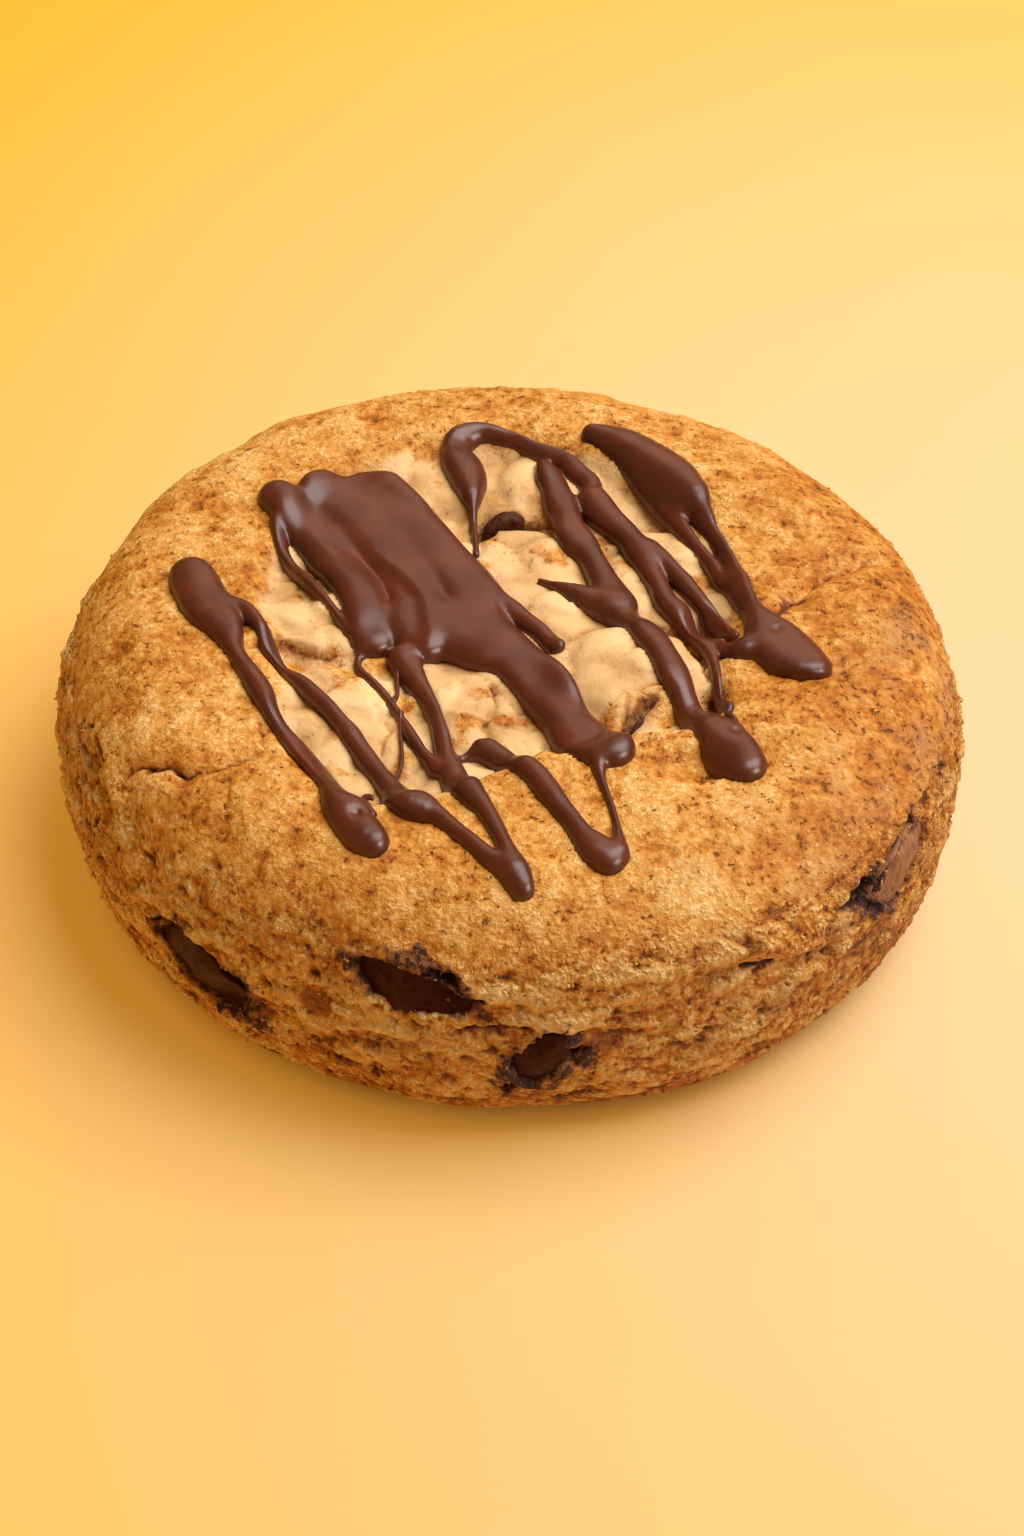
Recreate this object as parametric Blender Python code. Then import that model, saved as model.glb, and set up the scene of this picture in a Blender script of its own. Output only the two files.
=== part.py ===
"""Deep dish cookie with chocolate chunks in its side and melted chocolate drizzled over the top.

Metres, +Z up, origin at the centre of the flat base. Lengths below are in millimetres times MM.
"""
import math

import bmesh
import bpy
import numpy as np
from mathutils import Matrix, Vector
from mathutils.bvhtree import BVHTree

MM = 0.001

# Turned profile of the cookie: flat top, round shoulder, widest low down, narrower base
RADIUS = 55.0
HEIGHT = 33.5
BASE_RADIUS = 45.0
BELLY_HEIGHT = 15.2
TOP_RADIUS = 41.8
ROUNDNESS = 2.3

# Mesh of the cookie
TOP_EDGE = 50.5
CELLS_ACROSS = 34
SIDE_RINGS = 9

# Sunken middle: edge radius at angles in degrees, anticlockwise from +X
BASIN_ANGLES = (9, 42, 64, 83, 101, 133, 156, 181, 194, 213, 225, 244, 251, 266, 278, 291, 302, 322, 331, 348)
BASIN_RADII = (29, 30.5, 33.5, 36, 37.5, 36, 33.6, 33, 31.4, 33.7, 38, 40.3, 37.4, 30, 25.8, 27.8, 26.2, 31,
               28.6, 27.1)
BASIN_DEPTH = 2.0
BASIN_SLOPE = 4.5
LEDGE_SLOPE = 1.3
LEDGE_ANGLE = 276.0
LEDGE_SPREAD = 34.0

# Risen lumps of dough on top: x, y, half-length, half-width, turn in degrees, rise (a dip where below zero)
LUMPS = (
    (13.5, -9.0, 10.5, 9.0, 8, 2.2),
    (-24.0, -1.0, 9.0, 8.0, 0, 0.9),
    (-21.0, -19.0, 7.0, 8.5, 20, 0.9),
    (-4.0, -17.0, 6.5, 7.5, 0, 1.0),
    (0.5, 14.5, 5.5, 5.0, 0, 0.8),
    (-11.5, 26.0, 8.0, 7.0, 0, 1.0),
    (1.0, 27.5, 4.5, 4.5, 0, 0.9),
    (33.0, -18.0, 9.0, 8.0, 30, 0.9),
    (30.0, 24.0, 9.0, 7.0, -40, 0.7),
    (-38.0, -14.0, 8.0, 9.0, 0, 0.6),
    (20.5, -26.5, 5.0, 3.0, 10, -1.6),
    (22.8, 0.5, 2.8, 3.2, 0, -2.2),
    (23.3, -14.2, 1.6, 3.2, 0, -1.6),
)

# Folds where one side of the dough stands proud: points, step, reach of the step
TOP_FOLDS = (
    (((-31.5, -11.0), (-26.9, -7.6), (-22.9, -8.7), (-18.0, -8.2)), 1.2, 6.0),
    (((-6.4, 16.5), (-4.4, 20.2), (-0.7, 20.0), (4.5, 20.2)), 1.2, 5.0),
    (((12.0, -18.5), (14.8, -15.8), (18.0, -13.0)), 1.0, 4.0),
)
# The furrow on the right: points, half-width, depth
TOP_FURROWS = (
    (((46.5, 16.0), (41.2, 12.6), (36.1, 9.0), (34.1, 5.7), (31.3, 1.6)), 2.6, 1.6),
    (((-44.0, -28.0), (-38.9, -29.3), (-35.4, -31.2), (-27.3, -28.1)), 1.6, 0.6),
)
# Folds round the side: points as angle in degrees and height, step, reach
SIDE_FOLDS = (
    (((-139.0, 20.0), (-145.0, 25.5), (-152.0, 27.5), (-159.0, 27.5)), -1.3, 5.0),
    (((-76.0, 22.0), (-66.0, 23.6), (-59.0, 24.0), (-52.0, 21.5), (-45.0, 20.5)), 1.1, 4.5),
    (((-67.0, 11.5), (-57.0, 14.0), (-49.0, 16.5), (-41.0, 17.0)), 0.9, 3.5),
    (((-70.0, 8.5), (-62.0, 10.5), (-55.0, 13.0)), 0.7, 3.0),
    (((15.0, 19.0), (28.0, 22.5), (40.0, 20.5)), 1.0, 4.0),
    (((70.0, 14.0), (84.0, 17.5), (97.0, 15.0)), 0.9, 4.0),
    (((118.0, 23.0), (133.0, 25.0), (146.0, 22.0)), 1.1, 4.5),
    (((160.0, 12.5), (172.0, 15.5), (184.0, 13.0)), 0.8, 3.5),
)

# Gentle unevenness: seed, number of waves, rise
WAVE_SEED = 57
WAVE_COUNT = 14
WAVE_RISE = 0.24

# Drizzle: plan points x, y and half-width, laid over the top as ribbons with round backs
STRANDS = {
    "left_run": ((-39.0, 2.2, 2.9), (-38.3, 0.6, 3.3), (-36.1, -4.2, 3.3), (-33.7, -8.0, 2.3), (-32.0, -12.0, 1.25),
                 (-28.6, -18.0, 1.6), (-26.5, -22.3, 1.15), (-21.7, -28.7, 1.5), (-19.4, -32.5, 1.6),
                 (-17.4, -36.4, 2.5), (-15.6, -39.8, 2.7), (-14.2, -41.4, 2.1)),
    "left_branch": ((-34.6, -3.0, 1.6), (-32.2, -4.0, 1.4), (-30.0, -6.8, 1.05), (-28.4, -9.6, 1.2),
                    (-26.6, -12.2, 0.75), (-24.6, -14.5, 1.2), (-19.3, -21.2, 1.1), (-17.7, -23.4, 1.4),
                    (-13.2, -30.4, 1.4), (-11.1, -34.2, 2.6), (-9.4, -35.6, 2.2), (-7.0, -37.2, 1.2),
                    (-1.8, -43.0, 1.2), (1.0, -45.2, 1.5)),
    "front_run": ((-12.8, -9.0, 2.2), (-11.9, -11.2, 1.8), (-9.9, -15.6, 1.2), (-8.6, -19.1, 1.0),
                  (-7.0, -25.2, 1.2), (-5.6, -29.8, 2.0), (-4.0, -33.0, 1.8), (-2.5, -35.2, 1.3),
                  (-1.0, -38.3, 1.15), (0.4, -42.0, 1.1), (1.4, -45.0, 1.9), (2.1, -46.6, 1.6)),
    "thin_run": ((-17.6, -7.6, 0.6), (-18.1, -10.3, 0.5), (-14.7, -15.2, 0.65), (-12.4, -19.4, 0.6), (-11.2, -22.3, 0.95),
                 (-9.7, -24.9, 0.7), (-8.0, -27.4, 1.0)),
    "knob_run": ((-30.0, 14.2, 1.1), (-29.3, 11.1, 0.95), (-28.1, 8.1, 0.9), (-25.3, 3.4, 0.85),
                 (-23.0, 0.2, 0.7), (-19.6, -5.6, 0.5)),
    "hook": ((-5.3, 11.9, 0.45), (-6.0, 19.5, 0.5), (-6.5, 22.7, 1.7), (-7.0, 25.9, 2.6), (-7.8, 28.8, 2.9),
             (-8.7, 31.8, 2.4), (-8.5, 34.0, 1.9), (-7.0, 35.4, 1.5), (-5.1, 35.8, 1.15), (-1.2, 34.7, 0.9),
             (1.0, 33.4, 1.0), (4.8, 31.6, 1.3), (6.8, 29.2, 1.65), (8.5, 26.6, 1.6), (8.9, 23.7, 1.3)),
    "upper_run": ((2.4, 30.3, 1.1), (3.2, 27.6, 2.0), (4.1, 25.3, 2.2), (6.0, 17.8, 2.3), (7.2, 15.1, 2.6),
                  (8.5, 12.9, 1.9), (9.8, 9.8, 1.9), (11.0, 6.3, 2.4), (12.1, 3.2, 2.7)),
    "upper_spike": ((2.6, 7.3, 0.35), (4.2, 6.6, 0.5), (6.0, 5.5, 1.2), (8.0, 4.4, 1.9), (10.8, 2.9, 2.4)),
    "right_run": ((11.9, 2.8, 2.4), (13.0, 0.6, 2.0), (16.6, -6.1, 2.2), (19.9, -14.2, 2.0), (22.0, -19.0, 2.1),
                  (23.9, -22.3, 3.0), (25.2, -24.9, 3.3), (26.2, -26.4, 2.9)),
    "weave_run": ((8.9, 23.4, 2.3), (10.7, 20.4, 2.3), (13.2, 17.2, 1.9), (15.2, 13.0, 2.0), (16.3, 9.5, 1.6),
                  (17.2, 7.1, 1.4), (18.0, 4.5, 1.65), (19.6, 2.3, 1.75), (21.2, -0.6, 1.3), (22.9, -5.1, 0.9),
                  (23.5, -9.0, 0.7), (23.9, -13.3, 0.5), (25.1, -18.9, 0.5), (25.8, -20.6, 0.6)),
    "weave_branch": ((16.0, 14.4, 1.7), (18.8, 10.4, 1.4), (20.6, 7.7, 1.35), (22.3, 4.9, 1.1), (23.9, 1.8, 1.05),
                     (25.8, -3.2, 0.7)),
    "weave_link": ((22.4, -0.6, 0.7), (23.7, -3.4, 0.85), (24.9, -5.6, 0.95), (26.3, -6.2, 1.6), (28.4, -5.6, 2.0)),
    "far_run": ((8.6, 35.3, 1.6), (11.8, 33.8, 2.7), (15.2, 30.6, 3.7), (17.8, 27.1, 4.2), (19.5, 24.0, 3.7),
                (21.0, 22.0, 2.0)),
    "far_left_leg": ((18.0, 22.6, 1.6), (20.4, 17.4, 1.0), (23.1, 12.3, 0.85), (24.6, 8.7, 0.95), (26.4, 7.0, 1.4)),
    "far_right_leg": ((21.3, 23.0, 2.2), (23.3, 17.4, 1.1), (24.6, 14.1, 0.9), (26.0, 9.8, 1.0), (26.6, 6.5, 1.5),
                      (27.6, 2.7, 1.4), (28.8, -0.7, 1.9), (30.6, -4.4, 3.8), (32.2, -7.0, 4.1), (34.2, -8.7, 3.0),
                      (35.5, -9.1, 1.6)),
    "short_run": ((-5.1, -25.5, 0.4), (-4.1, -24.8, 0.7), (-2.6, -24.2, 1.6), (-0.8, -25.6, 1.8),
                  (1.0, -27.6, 1.5), (3.2, -30.0, 1.7), (5.3, -33.6, 1.5), (7.0, -36.3, 1.3), (8.3, -38.8, 1.5),
                  (9.8, -40.8, 2.1), (11.2, -42.0, 2.1)),
    "drip": ((9.9, -27.3, 1.1), (10.3, -29.6, 0.6), (11.0, -32.3, 0.45), (11.6, -34.8, 0.45), (12.2, -38.0, 0.55),
             (12.4, -41.2, 1.3)),
    "pool_finger": ((-2.0, 3.2, 2.2), (1.5, 0.3, 1.6), (3.0, -1.2, 1.5), (4.6, -3.8, 1.25)),
    "pool_left": ((-30.2, 18.5, 2.9), (-26.7, 15.6, 3.8), (-23.0, 10.0, 3.6), (-19.7, 4.0, 3.3), (-17.7, -1.6, 3.1),
                  (-16.8, -6.1, 2.8)),
    "pool_middle": ((-24.1, 20.8, 4.3), (-19.7, 16.0, 4.7), (-15.1, 9.3, 4.4), (-12.3, 2.7, 3.9), (-10.7, -2.9, 3.6),
                    (-10.5, -6.5, 2.9)),
    "pool_right": ((-18.9, 22.3, 4.4), (-14.4, 17.5, 4.2), (-10.2, 10.7, 4.2), (-6.0, 4.6, 4.7), (-2.5, -1.2, 4.9),
                   (0.7, -7.4, 4.4), (3.8, -13.5, 3.6), (6.3, -18.4, 3.2), (8.8, -22.8, 4.0), (11.3, -24.9, 3.1)),
    "pool_base": ((-11.7, -2.8, 4.9), (-7.1, -3.6, 5.0), (-2.6, -6.6, 4.4)),
}
STRAND_FULL_RISE = 2.0
STRAND_RISE_RATE = 0.52
STRAND_SINK = 1.3
STRAND_SIDES = 8
STRAND_STEP = 2.6

# Chunks in the side: angle in degrees, height, length, height of face, depth, tilt in degrees
SIDE_CHUNKS = {
    "chunk_side_left": (-126.3, 15.0, 15.0, 5.4, 7.0, -33.0),
    "chunk_front_left": (-100.2, 23.6, 13.6, 6.0, 8.0, -9.0),
    "chunk_front": (-84.8, 13.6, 7.6, 5.2, 7.0, 22.0),
    "chunk_right": (-33.4, 23.6, 9.6, 5.6, 7.0, 32.0),
    "chunk_back_right": (22.0, 13.5, 9.0, 5.6, 7.0, 14.0),
    "chunk_back": (74.0, 23.5, 11.0, 5.4, 7.5, -12.0),
    "chunk_back_low": (104.0, 12.0, 8.0, 6.2, 7.0, 25.0),
    "chunk_back_left": (152.0, 18.0, 12.0, 5.2, 7.0, -20.0),
}
# Chunks that show between folds on top: x, y, length, width, depth, turn in degrees, rise over the dough
TOP_CHUNKS = {
    "chunk_crevice": (-2.3, 19.3, 4.6, 2.4, 3.5, 98.0, 0.3),
    "chunk_fold": (15.4, -16.4, 4.8, 1.8, 3.0, -40.0, 0.1),
}
CHUNK_PROUD = 0.3
CHUNK_BEVEL = 0.7
CHUNK_UNEVEN = 0.45
POCKET_GAP = 0.35
POCKET_MOUTH = 4.0

# Points closer than this after a joining or cutting are one point
SLIVER = 0.01

CRUST_COLOUR = (0.56, 0.30, 0.10, 1.0)
CHOCOLATE_COLOUR = (0.085, 0.028, 0.016, 1.0)


def smooth_step(low, high, value):
    """0 below low, 1 above high, an S curve between."""
    t = np.clip((value - low) / (high - low), 0.0, 1.0)
    return t * t * (3.0 - 2.0 * t)


def top_height(r):
    """Height of the plain turned top at radius r."""
    t = np.clip((r - TOP_RADIUS) / (RADIUS - TOP_RADIUS), 0.0, 1.0)
    return BELLY_HEIGHT + (HEIGHT - BELLY_HEIGHT) * (1.0 - t**ROUNDNESS) ** (1.0 / ROUNDNESS)


def side_profile(rings):
    """Radii and heights of evenly spaced rings from the edge of the top down to the base."""
    turn = np.linspace(0.0, math.pi / 2, 400)
    power = 2.0 / ROUNDNESS
    upper_r = TOP_RADIUS + (RADIUS - TOP_RADIUS) * np.sin(turn) ** power
    upper_z = BELLY_HEIGHT + (HEIGHT - BELLY_HEIGHT) * np.cos(turn) ** power
    lower_r = BASE_RADIUS + (RADIUS - BASE_RADIUS) * np.cos(turn) ** power
    lower_z = BELLY_HEIGHT * (1.0 - np.sin(turn) ** power)
    below_edge = upper_r > TOP_EDGE
    r = np.concatenate(([TOP_EDGE], upper_r[below_edge], lower_r[1:]))
    z = np.concatenate(([top_height(TOP_EDGE)], upper_z[below_edge], lower_z[1:]))
    along = np.concatenate(([0.0], np.cumsum(np.hypot(np.diff(r), np.diff(z)))))
    stops = np.linspace(0.0, along[-1], rings + 1)
    return np.interp(stops, along, r), np.interp(stops, along, z)


def profile_normal(r, z):
    """Outward direction (radial, up) of the turned profile at points on it."""
    n = ROUNDNESS - 1.0
    upper_t = np.clip((r - TOP_RADIUS) / (RADIUS - TOP_RADIUS), 0.0, 1.0)
    upper_s = np.clip((z - BELLY_HEIGHT) / (HEIGHT - BELLY_HEIGHT), 0.0, 1.0)
    lower_t = np.clip((r - BASE_RADIUS) / (RADIUS - BASE_RADIUS), 0.0, 1.0)
    lower_s = np.clip((BELLY_HEIGHT - z) / BELLY_HEIGHT, 0.0, 1.0)
    above = z >= BELLY_HEIGHT
    out = np.where(above, upper_t**n / (RADIUS - TOP_RADIUS), lower_t**n / (RADIUS - BASE_RADIUS))
    up = np.where(above, upper_s**n / (HEIGHT - BELLY_HEIGHT), -(lower_s**n) / BELLY_HEIGHT)
    length = np.hypot(out, up)
    return out / length, up / length


def along_path(points, x, y):
    """Signed distance to a polyline (left side positive) and how far along it the nearest point is, 0 to 1."""
    points = np.asarray(points, float)
    lengths = np.hypot(*np.diff(points, axis=0).T)
    starts = np.concatenate(([0.0], np.cumsum(lengths)))
    best = np.full(x.shape, 1e9)
    signed = np.zeros(x.shape)
    fraction = np.zeros(x.shape)
    for (x0, y0), (x1, y1), length, start in zip(points[:-1], points[1:], lengths, starts):
        dx, dy = (x1 - x0) / length, (y1 - y0) / length
        t = np.clip((x - x0) * dx + (y - y0) * dy, 0.0, length)
        away_x, away_y = x - x0 - t * dx, y - y0 - t * dy
        distance = np.hypot(away_x, away_y)
        nearer = distance < best
        best = np.where(nearer, distance, best)
        signed = np.where(nearer, distance * np.where(dx * away_y - dy * away_x >= 0, 1.0, -1.0), signed)
        fraction = np.where(nearer, (start + t) / starts[-1], fraction)
    return signed, fraction


def fold(points, step, reach, x, y):
    """A step along a path: full on its left, with a shallow trough at its foot, fading at both ends."""
    signed, fraction = along_path(points, x, y)
    ends = np.sin(np.pi * fraction) ** 0.6
    proud = smooth_step(-0.2, 0.9, signed) * np.exp(-((np.maximum(signed, 0.0) / reach) ** 2))
    trough = np.exp(-(((signed + 0.9) / 1.1) ** 2))
    return ends * step * (proud - 0.45 * trough)


def furrow(points, half_width, depth, x, y):
    """A groove along a path, fading at both ends."""
    signed, fraction = along_path(points, x, y)
    ends = np.sin(np.pi * fraction) ** 0.5
    return -depth * ends * np.clip(1.0 - np.abs(signed) / half_width, 0.0, 1.0)


def basin(x, y):
    """Depth of the sunken middle, with a steep ledge on the front side."""
    angle = np.degrees(np.arctan2(y, x)) % 360.0
    edge = np.interp(angle, BASIN_ANGLES, BASIN_RADII, period=360.0)
    inside = edge - np.hypot(x, y)
    front = np.exp(-(((angle - LEDGE_ANGLE) / LEDGE_SPREAD) ** 2))
    slope = BASIN_SLOPE + (LEDGE_SLOPE - BASIN_SLOPE) * front
    return BASIN_DEPTH * smooth_step(0.0, 1.0, inside / slope)


def lump(centre_x, centre_y, half_length, half_width, turn, rise, x, y):
    """A low dome whose edge is steeper than its crown."""
    c, s = math.cos(math.radians(turn)), math.sin(math.radians(turn))
    u = (c * (x - centre_x) + s * (y - centre_y)) / half_length
    v = (-s * (x - centre_x) + c * (y - centre_y)) / half_width
    return rise * np.clip(1.0 - (u * u + v * v) ** 1.5, 0.0, 1.0)


def waves(x, y, z):
    """Gentle unevenness: a seeded sum of plane waves."""
    rng = np.random.default_rng(WAVE_SEED)
    total = np.zeros(x.shape)
    for _ in range(WAVE_COUNT):
        direction = rng.normal(size=3)
        direction /= np.linalg.norm(direction)
        length = rng.uniform(9.0, 26.0)
        phase = rng.uniform(0.0, 2.0 * math.pi)
        total += np.sin(2.0 * math.pi / length * (direction[0] * x + direction[1] * y + direction[2] * z) + phase)
    return WAVE_RISE * total / math.sqrt(WAVE_COUNT)


def relief(x, y, z):
    """How far the surface stands off the plain turned form, along its outward direction."""
    r = np.hypot(x, y)
    on_top = smooth_step(53.5, 48.0, r) * (z > BELLY_HEIGHT)
    on_side = smooth_step(46.0, 50.5, r)
    top = -basin(x, y)
    for row in LUMPS:
        top = top + lump(*row, x, y)
    for points, step, reach in TOP_FOLDS:
        top = top + fold(points, step, reach, x, y)
    for points, half_width, depth in TOP_FURROWS:
        top = top + furrow(points, half_width, depth, x, y)
    side = np.zeros(x.shape)
    around = np.degrees(np.arctan2(y, x))
    for points, step, reach in SIDE_FOLDS:
        middle = sum(angle for angle, _ in points) / len(points)
        turn = (around - middle + 180.0) % 360.0 - 180.0
        arc = np.radians(turn) * RADIUS
        flat_points = [(math.radians(angle - middle) * RADIUS, height) for angle, height in points]
        side = side + fold(flat_points, step, reach, arc, z)
    off_base = smooth_step(0.0, 3.0, z)
    return (on_top * top + on_side * side + waves(x, y, z)) * off_base


def disc_map(a, b):
    """Square (-1..1) to unit disc with even spacing round the edge."""
    wide = np.abs(a) >= np.abs(b)
    safe_a = np.where(a == 0, 1.0, a)
    safe_b = np.where(b == 0, 1.0, b)
    radius = np.where(wide, a, b)
    angle = np.where(wide, np.pi / 4 * b / safe_a, np.pi / 2 - np.pi / 4 * a / safe_b)
    centre = (a == 0) & (b == 0)
    return np.where(centre, 0.0, radius * np.cos(angle)), np.where(centre, 0.0, radius * np.sin(angle))


def displaced(x, y, z):
    """Points of the plain turned form moved out by the relief."""
    r = np.maximum(np.hypot(x, y), 1e-6)
    out, up = profile_normal(r, z)
    rise = relief(x, y, z)
    return x + rise * out * x / r, y + rise * out * y / r, z + rise * up


def cookie_mesh():
    """Closed mesh: disc-mapped top, rings down the side and one flat face underneath."""
    n = CELLS_ACROSS
    line = np.linspace(-1.0, 1.0, n + 1)
    a, b = np.meshgrid(line, line)
    disc_x, disc_y = disc_map(a.ravel(), b.ravel())
    top_x, top_y = disc_x * TOP_EDGE, disc_y * TOP_EDGE
    top_z = top_height(np.hypot(top_x, top_y))

    index = np.arange((n + 1) ** 2).reshape(n + 1, n + 1)
    rim = np.concatenate((index[0, :-1], index[:-1, n], index[n, :0:-1], index[:0:-1, 0]))
    rim_x, rim_y = top_x[rim] / TOP_EDGE, top_y[rim] / TOP_EDGE
    ring_r, ring_z = side_profile(SIDE_RINGS)
    side_x = (ring_r[1:, None] * rim_x).ravel()
    side_y = (ring_r[1:, None] * rim_y).ravel()
    side_z = np.repeat(ring_z[1:], len(rim))
    side_z[-len(rim):] = 0.0

    x, y, z = displaced(
        np.concatenate((top_x, side_x)), np.concatenate((top_y, side_y)), np.concatenate((top_z, side_z))
    )
    vertices = np.stack((x, y, z), axis=-1) * MM
    faces = [
        (index[j, i], index[j, i + 1], index[j + 1, i + 1], index[j + 1, i]) for j in range(n) for i in range(n)
    ]
    rings = [rim] + [len(top_x) + k * len(rim) + np.arange(len(rim)) for k in range(SIDE_RINGS)]
    for upper, lower in zip(rings[:-1], rings[1:]):
        for k in range(len(rim)):
            j = (k + 1) % len(rim)
            faces.append((upper[k], lower[k], lower[j], upper[j]))
    faces.append(tuple(rings[-1][::-1]))
    mesh = bpy.data.meshes.new("cookie")
    mesh.from_pydata(vertices.tolist(), [], [tuple(int(v) for v in face) for face in faces])
    return mesh


def smooth_route(points):
    """Evenly stepped points of a smooth curve through a strand's points, half-width included."""
    points = np.asarray(points, float)
    padded = np.vstack((2 * points[0] - points[1], points, 2 * points[-1] - points[-2]))
    rows = []
    for p0, p1, p2, p3 in zip(padded[:-3], padded[1:-2], padded[2:-1], padded[3:]):
        for t in np.linspace(0.0, 1.0, 12, endpoint=False):
            rows.append(0.5 * (2 * p1 + (p2 - p0) * t + (2 * p0 - 5 * p1 + 4 * p2 - p3) * t**2
                               + (3 * p1 - p0 - 3 * p2 + p3) * t**3))
    rows.append(points[-1])
    rows = np.array(rows)
    along = np.concatenate(([0.0], np.cumsum(np.hypot(np.diff(rows[:, 0]), np.diff(rows[:, 1])))))
    count = max(2, round(along[-1] / STRAND_STEP))
    stops = np.linspace(0.0, along[-1], count + 1)
    return np.stack([np.interp(stops, along, rows[:, k]) for k in range(3)], axis=-1)


def with_round_ends(route):
    """The route with two more, narrower stations past each end."""
    heads = []
    for end, inner in ((route[0], route[1]), (route[-1], route[-2])):
        direction = end[:2] - inner[:2]
        direction /= np.linalg.norm(direction)
        width = end[2]
        near = np.append(end[:2] + direction * 0.6 * width, 0.78 * width)
        tip = np.append(end[:2] + direction * 0.92 * width, 0.34 * width)
        heads.append((near, tip))
    (near_start, tip_start), (near_end, tip_end) = heads
    return np.vstack((tip_start, near_start, route, near_end, tip_end))


def strand_mesh(name, points, surface):
    """A closed ribbon of chocolate: half-elliptic back, sunk flat belly, laid on the surface below it."""
    route = with_round_ends(smooth_route(points))
    ground = np.array([ground_height(surface, x, y) for x, y, _ in route])
    ground[1:-1] = (ground[:-2] + 2 * ground[1:-1] + ground[2:]) / 4
    tangent = np.gradient(route[:, :2], axis=0)
    tangent /= np.linalg.norm(tangent, axis=1, keepdims=True)
    across = np.stack((-tangent[:, 1], tangent[:, 0]), axis=-1)
    turn = np.linspace(0.0, 2.0 * math.pi, STRAND_SIDES, endpoint=False) + math.pi / STRAND_SIDES
    width = route[:, 2:3]
    rise = STRAND_FULL_RISE * (1.0 - np.exp(-STRAND_RISE_RATE * width))
    side = width * np.cos(turn)
    lift = np.where(np.sin(turn) > 0, rise * np.sin(turn), STRAND_SINK * np.sin(turn))
    x = route[:, 0:1] + side * across[:, 0:1]
    y = route[:, 1:2] + side * across[:, 1:2]
    z = ground[:, None] + lift
    vertices = np.stack((x, y, z), axis=-1).reshape(-1, 3) * MM
    faces = []
    count = STRAND_SIDES
    for i in range(len(route) - 1):
        for k in range(count):
            j = (k + 1) % count
            faces.append((i * count + k, i * count + j, (i + 1) * count + j, (i + 1) * count + k))
    faces.append(tuple(range(count))[::-1])
    faces.append(tuple(range((len(route) - 1) * count, len(route) * count)))
    mesh = bpy.data.meshes.new(name)
    mesh.from_pydata(vertices.tolist(), [], faces)
    return mesh


def ground_height(surface, x, y):
    """Height in millimetres of the cookie's surface straight below x, y."""
    point, _, _, _ = surface.ray_cast(Vector((x * MM, y * MM, 0.1)), Vector((0.0, 0.0, -1.0)))
    return point.z / MM


def chunk_mesh(name, size, seed, mouth=0.0):
    """An uneven bevelled block; mouth lengthens it at its +X end."""
    rng = np.random.default_rng(seed)
    mesh = bpy.data.meshes.new(name)
    work = bmesh.new()
    bmesh.ops.create_cube(work, size=1.0)
    for vertex in work.verts:
        corner = np.array(vertex.co)
        place = corner * np.array(size) + rng.uniform(-1.0, 1.0, 3) * CHUNK_UNEVEN
        place[0] += mouth if corner[0] > 0 else 0.0
        vertex.co = Vector(place * MM)
    bmesh.ops.bevel(
        work, geom=work.edges[:], offset=CHUNK_BEVEL * MM, segments=2, profile=0.5, affect="EDGES",
        clamp_overlap=True
    )
    work.to_mesh(mesh)
    work.free()
    return mesh


def side_frame(angle, height, tilt):
    """Point on the side and a turn whose X looks out of it, tilted about that direction."""
    around = math.radians(angle)
    z = np.array([height])
    r = np.interp(z, *[line[::-1] for line in reversed(side_profile(200))])
    out, up = (float(value[0]) for value in profile_normal(r, z))
    normal = Vector((out * math.cos(around), out * math.sin(around), up))
    sideways = Vector((-math.sin(around), math.cos(around), 0.0))
    upward = normal.cross(sideways)
    basis = Matrix((normal, sideways, upward)).transposed()
    point = Vector((r[0] * math.cos(around), r[0] * math.sin(around), height))
    return point, basis @ Matrix.Rotation(math.radians(tilt), 3, "X"), normal


def top_frame(x, y, turn, surface):
    """Point on top and a turn whose X looks up."""
    basis = Matrix(((0.0, 0.0, -1.0), (0.0, 1.0, 0.0), (1.0, 0.0, 0.0)))
    point = Vector((x, y, ground_height(surface, x, y)))
    return point, Matrix.Rotation(math.radians(turn), 3, "Z") @ basis, Vector((0.0, 0.0, 1.0))


def new_object(name, mesh, collection, material=None):
    piece = bpy.data.objects.new(name, mesh)
    collection.objects.link(piece)
    if material:
        mesh.materials.append(material)
    return piece


def new_material(name, colour, roughness):
    material = bpy.data.materials.new(name)
    material.use_nodes = True
    shader = material.node_tree.nodes["Principled BSDF"]
    shader.inputs["Base Color"].default_value = colour
    shader.inputs["Roughness"].default_value = roughness
    shader.inputs["Metallic"].default_value = 0.0
    return material


def combine(piece, collection, operation):
    """Join or cut the piece with everything in a collection, for good, and remove the collection."""
    boolean = piece.modifiers.new(operation.lower(), "BOOLEAN")
    boolean.operation = operation
    boolean.operand_type = "COLLECTION"
    boolean.collection = collection
    boolean.solver = "EXACT"
    bpy.context.view_layer.update()
    result = bpy.data.meshes.new_from_object(piece.evaluated_get(bpy.context.evaluated_depsgraph_get()))
    piece.modifiers.clear()
    piece.data = result
    for operand in list(collection.objects):
        bpy.data.objects.remove(operand)
    bpy.data.collections.remove(collection)


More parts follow.
